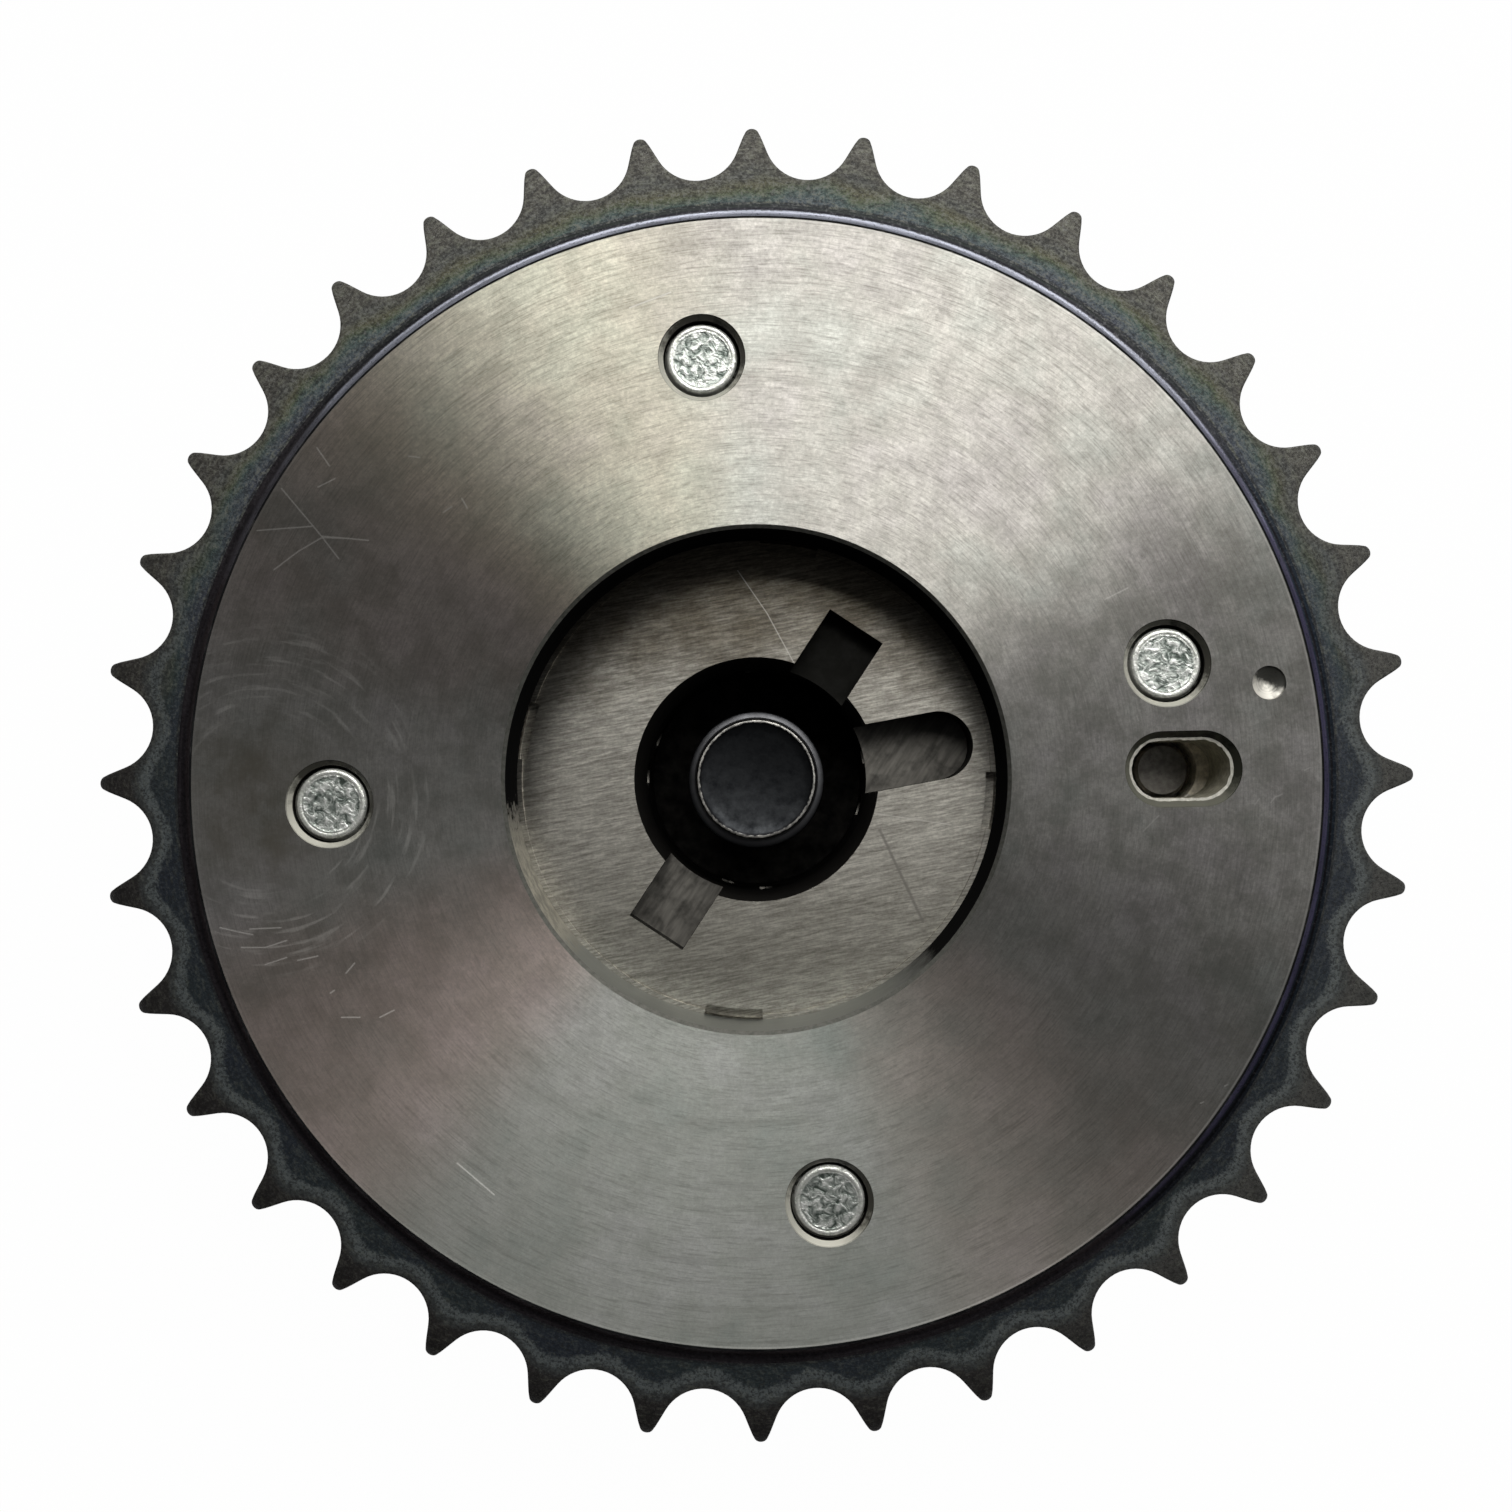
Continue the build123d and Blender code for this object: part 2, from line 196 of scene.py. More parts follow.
class Finish(Nodes):
    """A piece's material. Places are in millimetres; right and up are the X and Y of the spoke."""

    def __init__(self, name, color, roughness, metallic=1.0):
        self.material = bpy.data.materials.new(name)
        self.material.use_nodes = True
        super().__init__(self.material.node_tree)
        self.shader = self.tree.nodes["Principled BSDF"]
        self.set("Base Color", (*color, 1.0))
        self.set("Roughness", roughness)
        self.set("Metallic", metallic)
        coordinates = self.node("ShaderNodeTexCoord")
        self.place = self.vector("SCALE", coordinates.outputs["Object"], scale=1 / mm)
        self.x, self.y, self.z = self.split(self.place)
        self.flat = self.join(self.x, self.y, 0.0)
        self.radius = self.vector("LENGTH", self.flat)
        self.spoke = self.vector("NORMALIZE", self.flat)
        self.right, self.up, _ = self.split(self.spoke)
        self.normal = coordinates.outputs["Normal"]

    def set(self, name, value):
        self.plug(self.shader.inputs[name], value)

    def vector(self, operation, *inputs, scale=None):
        named = () if scale is None else (("Scale", scale),)
        output = "Value" if operation in ("LENGTH", "DOT_PRODUCT", "DISTANCE") else "Vector"
        return self.field("ShaderNodeVectorMath", *inputs, output=output, named=named, operation=operation)

    def mix(self, share, first, second, blend="MIX"):
        named = [(0, share)]
        for number, color in ((6, first), (7, second)):
            named.append((number, (*color, 1.0) if isinstance(color, tuple) else color))
        return self.field("ShaderNodeMix", output=2, named=named, data_type="RGBA", blend_type=blend)

    def noise(self, scale, detail=2.0, rough=0.5, place=None, distortion=0.0):
        settings = [("Vector", place or self.place), ("Scale", scale), ("Detail", detail)]
        settings += [("Roughness", rough), ("Distortion", distortion)]
        return self.field("ShaderNodeTexNoise", named=settings)

    def turns(self, across, along, detail=2.0, rough=0.5):
        """Noise that runs round the axis, fine across the turns and long along them."""
        place = self.join(self.radius * across, self.right * along, self.up * along + self.z)
        return self.noise(1.0, detail, rough, place)

    def lines(self, angle, across, along, detail=2.0, rough=0.5):
        """Noise in straight lines that rise at this angle from +X."""
        settings = (("Rotation", (0.0, 0.0, angle)), ("Scale", (1 / along, 1 / across, 1.0)))
        place = self.field("ShaderNodeMapping", self.place, named=settings, vector_type="TEXTURE")
        return self.noise(1.0, detail, rough, place)

    def layers(self, scale):
        """Noise that changes with height alone."""
        return self.noise(1.0, 3.0, place=self.join(0.0, 0.0, self.z * scale))

    def towards(self, angle, vector=None):
        """From -1 to 1: how far the spoke, or this vector, points to this angle in plan."""
        turn = radians(angle)
        return self.vector("DOT_PRODUCT", vector or self.spoke, (cos(turn), sin(turn), 0.0))

    def scratches(self, lines, width):
        """One on each of these straight scratches, from one end to the other."""
        total = 0.0
        for x, y, end_x, end_y in lines:
            along = Vector((end_x - x, end_y - y, 0.0))
            offset = self.vector("SUBTRACT", self.flat, (x, y, 0.0))
            reach = self.vector("DOT_PRODUCT", offset, tuple(along))
            share = self.maths("DIVIDE", reach, along.length_squared, clamp=True)
            away = self.vector("DISTANCE", offset, self.vector("SCALE", tuple(along), scale=share))
            total = self.maths("MAXIMUM", away.span(width * 0.3, width, 1.0, 0.0), total)
        return total

    def grooves(self, across, amount):
        """Fine grooves stretch every highlight across them, in this direction of the piece."""
        spaces = {"vector_type": "VECTOR", "convert_from": "OBJECT", "convert_to": "WORLD"}
        self.set("Tangent", self.field("ShaderNodeVectorTransform", across, **spaces))
        self.set("Anisotropic", amount)

    def done(self, color, roughness, height, depth):
        """The material with its last colour and roughness, and with relief this many millimetres deep."""
        self.set("Base Color", color)
        self.set("Roughness", roughness)
        settings = (("Height", height), ("Distance", depth * mm), ("Strength", 1.0))
        self.set("Normal", self.field("ShaderNodeBump", named=settings))
        return self.material


# Scratches in the rear face and in the rotor: X and Y of the two ends of each
disc_scratches = [
    (-30.8, 17.2, -27.5, 16.9), (-30.8, 17.1, -29.2, 17.05), (-35.4, 17.6, -31.5, 17.9),
    (-33.7, 20.6, -31.0, 17.4), (-31.0, 17.4, -29.6, 15.6), (-31.2, 23.5, -30.3, 22.2),
    (-34.2, 14.8, -32.5, 16.1), (-32.5, 16.1, -30.8, 17.1), (-24.7, 22.9, -23.9, 22.8),
    (-22.2, 18.9, -21.6, 19.3), (-20.9, 19.9, -20.5, 19.2), (-31.1, 20.7, -29.9, 21.3),
    (-37.8, -10.5, -36.5, -10.8), (-36.5, -10.8, -35.5, -11.0), (-35.7, -10.6, -33.5, -10.5),
    (-36.3, -11.9, -34.6, -11.9), (-34.6, -11.9, -33.1, -11.4), (-34.6, -13.1, -33.1, -12.6),
    (-32.3, -12.8, -30.9, -12.5), (-30.0, -15.1, -29.7, -14.9), (-29.2, -16.8, -27.9, -16.8),
    (-26.5, -16.8, -25.5, -16.3), (-28.9, -13.7, -28.3, -13.0), (24.7, 12.7, 26.3, 13.5),
    (36.3, -1.7, 36.6, -1.3), (36.6, -1.3, 37.1, -1.1), (35.2, -1.8, 35.5, -1.4),
    (27.3, -3.7, 28.4, -2.6), (38.7, 0.6, 39.1, 0.8), (26.9, 4.4, 27.0, 4.1), (32.9, -21.6, 33.1, -21.5),
    (31.2, -22.8, 31.4, -22.7), (-21.0, -27.0, -18.4, -29.2), (16.2, 25.6, 20.4, 22.6),
    (-9.0, 33.5, -6.1, 34.6),
]
rotor_scratches = [(-1.4, 15.6, 0.8, 12.4), (0.8, 12.4, 2.9, 8.5), (6.5, -2.2, 14.5, -3.4)]
rotor_rub = [(9.2, -3.8, 12.4, -10.6)]


def turned_disc():
    """Finish turned rear face: fine grain, ring marks, a brown stain at the left, rubbed arcs and scratches,
    faint tints, and painted light and shade: cloudy shade at the left and right, warm and cool light colour
    at the top and below, shade towards the rim and a highlight line by the edge.
    """
    made = Finish("turned_disc", (0.56, 0.55, 0.53), 0.46)
    dashes = made.turns(9.0, 20.0, 3.0, 0.6)
    rings = made.turns(2.2, 5.0)
    clouds = made.noise(0.42, 5.0, 0.68)
    grain = made.noise(4.2, 3.0, 0.75)
    blotch = made.noise(0.12, 4.0, 0.6)
    lit = abs(made.up).ease(0.3, 0.85)
    tone = clouds * 0.3 + grain * 0.42 + dashes * 0.28
    color = made.ramp(tone, [
        (0.36, (0.4, 0.396, 0.38)), (0.5, (0.56, 0.555, 0.535)), (0.63, (0.74, 0.735, 0.71))])
    # Ring marks painted stronger where the lamp lights the face, at the top and the bottom: painted light.
    marks = dashes.span(0.46, 0.34) * 0.36 + rings.span(0.46, 0.34) * 0.22
    color = made.mix(marks * lit.span(0.0, 1.0, 0.35, 1.0), color, (0.27, 0.265, 0.25))
    # Painted shade: cloudy darkening towards the left and the right, away from the lit top and bottom.
    shade = clouds.span(0.56, 0.4) * lit.span(0.0, 1.0, 0.36, 0.06)
    color = made.mix(shade, color, (0.3, 0.3, 0.27))
    tint = made.ramp(blotch, [
        (0.34, (0.94, 1.0, 0.97)), (0.5, (1.0, 0.985, 0.955)), (0.66, (1.0, 0.955, 0.985))])
    # Tints: warmer at the top and cooler below are the painted colour of the light; yellower towards 120
    # degrees and pinker at three fixed angles.
    tints = [
        (0.55, tint), (made.up.ease(0.1, 0.8), (1.0, 0.99, 0.975)),
        (made.towards(120).ease(0.86, 0.99), (1.0, 0.98, 0.88)),
        (made.up.ease(-0.55, -0.98, 0.0, 0.8), (0.93, 1.0, 0.99))]
    for angle, share in ((150, 0.5), (214, 0.9), (306, 0.7)):
        tints.append((made.towards(angle).ease(0.93, 0.998, 0.0, share), (1.0, 0.86, 0.83)))
    # Painted shade: greyer towards the rim along the line through 60 and 240 degrees.
    tints.append((made.radius.span(23.0, 38.0) * abs(made.towards(60)).ease(0.45, 0.85), (0.84, 0.84, 0.84)))
    for share, tint in tints:
        color = made.mix(share, color, tint, "MULTIPLY")
    middle = made.vector("DISTANCE", made.flat, (-35.0, -1.5, 0.0))
    arcs = made.noise(1.0, 2.0, place=made.join(middle * 2.6, made.x * 0.3, made.y * 0.3))
    bare = arcs.span(0.56, 0.7) * (middle.band(9.0, 2.0, 2.5) * 0.3)
    stain = middle.ease(2.0, 7.5, 0.7, 0.0) * clouds.span(0.3, 0.6, 1.0, 0.4)
    color = made.mix(stain, color, (0.3, 0.27, 0.21))
    marks = made.maths("MAXIMUM", made.scratches(disc_scratches, 0.075) * 0.55, bare)
    # Painted highlight: a pale line just inside the edge of the face, stronger towards the right.
    rim = made.radius.band(disc_r - 0.34, 0.02, 0.07) * made.x.span(-10.0, 35.0, 0.1, 0.5)
    marks = made.maths("MAXIMUM", rim, marks)
    color = made.mix(marks * 0.8, color, (0.95, 0.94, 0.91))
    rough = tone.span(0.36, 0.64, 0.44, 0.36) + blotch.span(0.35, 0.65, -0.02, 0.03) + marks * 0.2
    made.grooves(made.spoke, 0.87)
    return made.done(color, rough, tone, 0.004)


def hardened_ring():
    """Hardened teeth: dark oxide, temper colours by the disc and a pale wavy line along the gullets, with
    painted light and shade: lighter at the top and the right, darker at the left and below.
    """
    made = Finish("hardened_ring", (0.041, 0.044, 0.048), 0.55, metallic=0.5)
    grain = made.noise(2.1, 5.0, 0.72)
    specks = made.noise(5.5, 2.0, 0.7)
    streaks = made.turns(4.0, 60.0, 4.0, 0.7)
    drift = made.noise(0.16, 3.0)
    angle = made.maths("ARCTAN2", made.up, made.right)
    wave = made.maths("COSINE", (angle - tooth_phase) * tooth_count)
    crest = made.radius - wave * 0.65 + grain.sway(0.22) + drift.sway(0.2)
    # Masks for painted light and shade: the ring is painted lighter towards the top and the right and darker
    # at the left and below; the temper colours show at the top, and the pale line and the band by the roots
    # show mostly towards the bottom.
    upper = made.up.ease(-0.1, 0.75)
    lower = upper.span(0.0, 0.8, 1.0, 0.15)
    right = made.right.ease(0.2, 0.9)
    inner = made.mix(drift.span(0.38, 0.62), (0.012, 0.018, 0.029), (0.015, 0.024, 0.029))
    inner = made.mix(right * made.up.ease(-0.7, -0.15, 0.0, 0.6), inner, (0.034, 0.042, 0.058))
    temper = (made.radius + drift.span(0.35, 0.65, -0.6, 0.6)).span(disc_r + 1, root_r + 0.4)
    colors = made.ramp(temper, [
        (0.0, (0.058, 0.068, 0.095)), (0.25, (0.068, 0.092, 0.109)), (0.42, (0.065, 0.102, 0.095)),
        (0.58, (0.082, 0.102, 0.058)), (0.74, (0.095, 0.092, 0.054)), (1.0, (0.068, 0.068, 0.063))])
    inner = made.mix(upper, inner, colors)
    outer = made.mix(right, (0.017, 0.015, 0.015), (0.068, 0.068, 0.065))
    outer = made.mix(upper, outer, (0.082, 0.078, 0.068))
    base = made.mix(crest.ease(root_r - 0.35, root_r + 0.75), inner, outer)
    beside = made.mix(right, (0.046, 0.052, 0.053), (0.068, 0.075, 0.075))
    pale = made.mix(right, (0.095, 0.11, 0.115), (0.115, 0.13, 0.134))
    line = crest.band(root_r - 0.32, 0.2, 0.35) * specks.span(0.35, 0.6, 0.35, 1.0)
    # Painted shade: a dark line on the ring just past the foot of the fillet.
    foot = made.radius.band(disc_r + foot_fillet + foot_band + 0.08, 0.05, 0.12)
    # Painted sheen: the turning streaks and the pale specks are stronger towards the top, where the lamp
    # lights the ring.
    light = upper.span(0.0, 1.0, 0.2, 0.7)
    for share, color in (
            (crest.band(root_r + 0.1, 0.15, 0.6) * (lower * 0.8), beside), (line * lower, pale),
            (foot * 0.75, (0.008, 0.009, 0.012)), (streaks.span(0.5, 0.66) * light, (0.170, 0.177, 0.143)),
            (streaks.span(0.5, 0.34) * light, (0.014, 0.015, 0.015)),
            (specks.span(0.52, 0.66) * upper.span(0.0, 1.0, 0.15, 0.65), (0.150, 0.153, 0.146)),
            (specks.span(0.5, 0.36) * 0.6, (0.012, 0.012, 0.012))):
        base = made.mix(share, base, color)
    made.grooves(made.spoke, 0.2)
    return made.done(base, grain.fade(0.62, 0.48), specks + streaks, 0.02)


def foot_steel():
    """Blued fillet round the foot of the disc: a pale painted highlight above, violet at the right,
    brown-black elsewhere, and a black line of painted shade near its foot at the right and above.
    """
    made = Finish("foot_steel", (0.3, 0.3, 0.38), 0.4)
    lines = made.turns(6.0, 9.0, 3.0)
    specks = made.noise(4.5, 2.0, 0.7)
    drift = made.noise(0.16, 3.0)
    step = made.radius - disc_r
    right = (made.right + drift.sway(0.12)).ease(0.55, 0.9)
    above = (made.up + drift.sway(0.1)).ease(0.3, 0.85)
    ragged = step + specks.sway(0.05) + above.span(0.0, 1.0, 0.1, 0.0)
    # Painted highlight: the part of the fillet next to the disc is pale above; at the right it is violet,
    # elsewhere brown-black.
    near = made.mix(right, (0.07, 0.056, 0.06), (0.13, 0.12, 0.22))
    near = made.mix(above, near, (0.42, 0.44, 0.53))
    far = made.mix(right, (0.06, 0.052, 0.06), (0.022, 0.03, 0.042))
    far = made.mix(above, far, (0.022, 0.025, 0.025))
    base = made.mix(ragged.ease(0.7, 0.88, 1.0, 0.0), far, near)
    # Painted shade: a black line near the foot of the fillet, at the right and above.
    line = step.band(0.94, 0.05, 0.07) * made.maths("MAXIMUM", right, above)
    for share, color in (
            (line, (0.012, 0.012, 0.015)), (lines.span(0.4, 0.7, 0.0, 0.4), (0.03, 0.03, 0.034)),
            (specks.span(0.54, 0.7, 0.0, 0.25), (0.16, 0.16, 0.17)),
            (specks.span(0.46, 0.32, 0.0, 0.5), (0.012, 0.012, 0.013))):
        base = made.mix(share, base, color)
    made.grooves(made.spoke, 0.4)
    return made.done(base, lines.fade(0.46, 0.36), lines + specks, 0.008)


def edge_line():
    """Edge between the turned face and the blued fillet, painted black as painted shade, with small paler
    specks.
    """
    made = Finish("edge_line", (0.008, 0.008, 0.009), 0.6)
    specks = made.turns(3.0, 60.0, 3.0)
    base = made.mix(specks.span(0.6, 0.7, 0.0, 0.5), (0.006, 0.006, 0.007), (0.08, 0.075, 0.07))
    return made.done(base, specks.fade(0.7, 0.5), specks, 0.01)


def hole_wall():
    """Wall of the camshaft hole, painted for light and shade: black where it faces away from the lamp, a pale
    painted highlight at the lower left and grey below.
    """
    made = Finish("hole_wall", (0.1, 0.1, 0.1), 0.45)
    turns = made.layers(4.0)
    edge = made.noise(1.2, 4.0, 0.7)
    ragged = edge.sway(0.03)
    # Painted light and shade: grey at the bottom, where the wall faces the lamp, and a pale painted highlight
    # at the lower left; black elsewhere.
    grey = (made.towards(260) + ragged).ease(0.55, 0.8)
    pale = (made.towards(205.5) + ragged).span(0.9457, 0.9757)
    base = made.mix(turns.span(0.3, 0.7), (0.005, 0.005, 0.005), (0.014, 0.014, 0.014))
    base = made.mix(grey, base, (0.25, 0.265, 0.26))
    base = made.mix(pale, base, made.mix(edge.span(0.35, 0.6), (0.6, 0.58, 0.51), (0.28, 0.27, 0.24)))
    # The painted lit parts are also made metallic and glossier.
    lit_share = made.maths("MAXIMUM", grey, pale)
    made.set("Metallic", lit_share)
    made.set("Specular IOR Level", lit_share * 0.5)
    return made.done(base, turns.fade(0.55, 0.4), turns + edge, 0.008)


def cut_steel(name, pale, shaded, metallic):
    """Machined chamfer or punch mark with tool marks, painted for light and shade: pale where it faces the
    upper right, dark where it faces away.
    """
    made = Finish(name, pale, 0.45, metallic)
    turns = made.layers(9.0)
    uneven = made.noise(1.3, 4.0, 0.65)
    # Painted light and shade: the colour follows which way the surface faces, pale towards the upper right
    # and dark away from it.
    lean = made.towards(62, made.normal) + uneven.sway(0.22) + turns.sway(0.12)
    black = tuple(channel * 0.15 for channel in shaded)
    base = made.ramp(lean.span(-1.0, 1.0), [(0.08, black), (0.2, shaded), (0.42, shaded), (0.68, pale)])
    base = made.mix(turns.span(0.46, 0.34, 0.0, 0.6), base, black)
    return made.done(base, uneven.fade(0.55, 0.4), turns + uneven, 0.012)


def ground_steel():
    """Straight ground rotor: lines that rise to the right, a painted shadow darkening the top, painted shade
    towards the bottom, and long scratches.
    """
    made = Finish("ground_steel", (0.5, 0.485, 0.455), 0.4)
    slope = radians(11.0)
    fine = made.lines(slope, 6.5, 0.7, 4.0, 0.65)
    broad = made.lines(slope, 1.3, 0.2)
    cloud = made.noise(0.35, 4.0, 0.65)
    grain = made.noise(3.8, 3.0, 0.7)
    high = made.y + cloud.sway(3.0)
    tone = fine * 0.62 + broad * 0.16 + grain * 0.22
    color = made.ramp(tone, [(0.37, (0.2, 0.19, 0.17)), (0.5, (0.4, 0.385, 0.35)), (0.63, (0.72, 0.7, 0.64))])
    # Painted shadow: darker and browner towards the top, under the edge of the sprocket's hole. Painted
    # shade: darker towards the bottom.
    color = made.mix(high.ease(2.0, 15.0), color, (0.34, 0.315, 0.275), "MULTIPLY")
    color = made.mix(high.ease(-4.0, -14.0), color, (0.8, 0.8, 0.78), "MULTIPLY")
    color = made.mix(made.scratches(rotor_scratches, 0.06) * 0.45, color, (0.8, 0.78, 0.74))
    color = made.mix(made.scratches(rotor_rub, 0.16) * 0.7, color, (0.2, 0.19, 0.175))
    made.grooves((-sin(slope), cos(slope), 0.0), 0.7)
    return made.done(color, tone.span(0.36, 0.64, 0.43, 0.34), tone, 0.005)


def dark_bore():
    """Bores and sides that the grinding never reached: painted near black as painted shade, matt and mottled,
    a little lighter just under the face.
    """
    made = Finish("dark_bore", (0.02, 0.02, 0.019), 0.65)
    mottle = made.noise(0.8, 4.0, 0.6)
    # Painted shade: lighter just under the rotor face and darker deeper down.
    near_face = made.z.ease(rotor_top - 4.0, rotor_top - 0.3)
    color = made.mix(mottle.span(0.35, 0.65), (0.005, 0.005, 0.005), (0.018, 0.017, 0.016))
    color = made.mix(near_face * 0.3, color, (0.08, 0.075, 0.07))
    return made.done(color, mottle.fade(0.75, 0.55), mottle, 0.02)


def pocket_floor():
    """Milled pocket floors: grey with milling lines, painted near black towards the top as painted shade, so
    the upper right pocket is nearly black.
    """
    made = Finish("pocket_floor", (0.15, 0.145, 0.13), 0.5)
    mottle = made.noise(0.9, 4.0, 0.6)
    lines = made.lines(radians(57.0), 3.0, 0.5)
    bare = made.mix(lines.span(0.3, 0.7), (0.13, 0.125, 0.115), (0.24, 0.23, 0.21))
    # Painted shade: the floor goes near black towards the top.
    color = made.mix(made.y.ease(1.5, 6.5), bare, (0.012, 0.012, 0.011))
    color = made.mix(mottle.span(0.45, 0.7, 0.0, 0.5), color, (0.02, 0.02, 0.019))
    return made.done(color, mottle.fade(0.62, 0.45), mottle + lines, 0.012)


def bolt_zinc():
    """Zinc plated bolt: bright rim, wrinkled grey-green sheared end, and under the end a thread painted for
    light and shade, dark where it faces the upper right and pale where it faces the lower left.
    """
    made = Finish("bolt_zinc", (0.85, 0.87, 0.83), 0.4, metallic=0.75)
    wrinkles = made.noise(1.55, 2.5, 0.6, distortion=0.9)
    pits = made.noise(2.6, 3.0, 0.65)
    rise = made.split(made.normal)[2]
    near_end = made.z.span(rear_z - 1.6, rear_z - 1.5)
    sheared = made.z.span(rear_z - 0.44, rear_z - 0.39, 1.0, 0.0) * rise.span(0.8, 0.92) * near_end
    rough = made.ramp(wrinkles, [
        (0.34, (0.1, 0.125, 0.11)), (0.43, (0.28, 0.315, 0.295)),
        (0.52, (0.52, 0.56, 0.53)), (0.62, (0.88, 0.9, 0.88))])
    base = made.mix(pits.span(0.36, 0.56), (0.62, 0.65, 0.6), (0.88, 0.89, 0.86))
    base = made.mix(sheared, base, rough)
    # Painted light and shade: the thread and chamfer just under the end are pale where they face the lower
    # left and dark where they face the upper right.
    lean = made.towards(242, made.normal) + pits.sway(0.3)
    side = made.mix(lean.ease(-0.2, 0.45), (0.03, 0.032, 0.027), (0.6, 0.61, 0.55))
    base = made.mix(made.z.span(rear_z - 0.62, rear_z - 0.56, 1.0, 0.0) * near_end, base, side)
    relief = pits + wrinkles * sheared.span(0.0, 1.0, 0.0, 2.0)
    return made.done(base, pits.span(0.35, 0.65, 0.5, 0.36), relief, 0.05)


def black_oxide():
    """Black centre bolt, mottled, with a bright worn ring round its end."""
    made = Finish("black_oxide", (0.03, 0.031, 0.034), 0.45)
    mottle = made.noise(1.1, 5.0, 0.65)
    flecks = made.noise(3.6, 2.0)
    near_end = made.z.span(bolt_end_z - 0.75, bolt_end_z - 0.65)
    base = made.mix(mottle.span(0.35, 0.65), (0.007, 0.007, 0.008), (0.022, 0.023, 0.026))
    face = made.mix(mottle.span(0.3, 0.7), (0.012, 0.013, 0.015), (0.045, 0.048, 0.052))
    base = made.mix(near_end * made.radius.span(3.95, 4.02, 1.0, 0.0), base, face)
    base = made.mix(made.radius.band(4.7, 0.25, 0.1) * near_end, base, (0.11, 0.112, 0.12))
    rim = made.radius + flecks.sway(0.05)
    bare = rim.band(4.2, 0.03, 0.09) * near_end * made.noise(1.6, 3.0, 0.7).span(0.36, 0.62, 0.25, 1.0)
    base = made.mix(bare, base, (0.6, 0.59, 0.56))
    return made.done(base, mottle.fade(0.55, 0.4), mottle, 0.02)


def machined_steel(name, color, roughness):
    """Housing and cover: sintered and turned steel with rings, small pores and oil stains."""
    made = Finish(name, color, roughness)
    rings = made.turns(3.0, 2.0, 3.0)
    stain = made.noise(0.09, 4.0, 0.6)
    scale = (("Scale", 1.4),)
    pores = made.field("ShaderNodeTexVoronoi", made.place, output="Distance", named=scale, feature="F1")
    pore = pores.span(0.05, 0.2, 1.0, 0.0)
    dark = tuple(channel * 0.55 for channel in color)
    base = made.mix(rings.fade(0.0, 0.6), color, dark)
    base = made.mix(stain.span(0.45, 0.65, 0.0, 0.5), base, dark)
    base = made.mix(pore * 0.6, base, (0.05, 0.05, 0.05))
    made.grooves(made.spoke, 0.5)
    return made.done(base, rings.fade(roughness + 0.08, roughness - 0.06), rings - pore, 0.01)


def fine_steel(name, color, roughness, metallic=1.0):
    """Small hardened pieces: drawn or ground steel with faint mottling."""
    made = Finish(name, color, roughness, metallic)
    mottle = made.noise(2.4, 4.0, 0.6)
    base = made.mix(mottle.span(0.35, 0.65), tuple(channel * 0.6 for channel in color), color)
    return made.done(base, mottle.fade(roughness + 0.1, roughness - 0.05), mottle, 0.006)


def seal_polymer():
    """Dark brown sliding polymer with a fibrous grain."""
    made = Finish("seal_polymer", (0.05, 0.035, 0.026), 0.55, metallic=0.0)
    fibres = made.noise(3.0, 4.0, 0.7)
    base = made.mix(fibres, (0.13, 0.105, 0.08), (0.24, 0.2, 0.155))
    return made.done(base, fibres.fade(0.62, 0.46), fibres, 0.008)


def smooth(mesh, limit=32.0):
    """Smooth shading that stays sharp at edges steeper than this many degrees."""
    mesh.shade_smooth()
    mesh.set_sharp_from_angle(angle=radians(limit))


def placed(name, data):
    """A new object with this data, put in the scene."""
    made = bpy.data.objects.new(name, data)
    bpy.context.scene.collection.objects.link(made)
    return made


def finished(obj, name):
    """The object as its modifiers leave it, as a plain piece with none."""
    bpy.context.view_layer.update()
    graph = bpy.context.evaluated_depsgraph_get()
    result = obj.evaluated_get(graph)
    mesh = bpy.data.meshes.new_from_object(result, preserve_all_data_layers=True, depsgraph=graph)
    bpy.data.objects.remove(obj)
    mesh.name = name
    return placed(name, mesh)


def mesh_object(name, points, faces, numbers=()):
    """A new mesh from points in millimetres. numbers gives each face's material number."""
    mesh = bpy.data.meshes.new(name)
    mesh.from_pydata([Vector(point) * mm for point in points], [], faces)
    if numbers:
        mesh.polygons.foreach_set("material_index", numbers)
    return placed(name, mesh)


def closed(obj):
    """Merges doubles and turns every face outwards."""
    work = bmesh.new()
    work.from_mesh(obj.data)
    bmesh.ops.remove_doubles(work, verts=work.verts, dist=0.002 * mm)
    bmesh.ops.dissolve_degenerate(work, edges=work.edges, dist=0.00002 * mm)
    bmesh.ops.recalc_face_normals(work, faces=work.faces)
    work.to_mesh(obj.data)
    work.free()
    return obj


def grid_faces(columns, rows, wrap_rows):
    """Quads between neighbouring columns of a grid whose points are listed column by column."""
    last = rows if wrap_rows else rows - 1
    faces = []
    for column in range(columns - 1):
        for row in range(last):
            low = column * rows + row
            high = column * rows + (row + 1) % rows
            faces.append((low, low + rows, high + rows, high))
    return faces


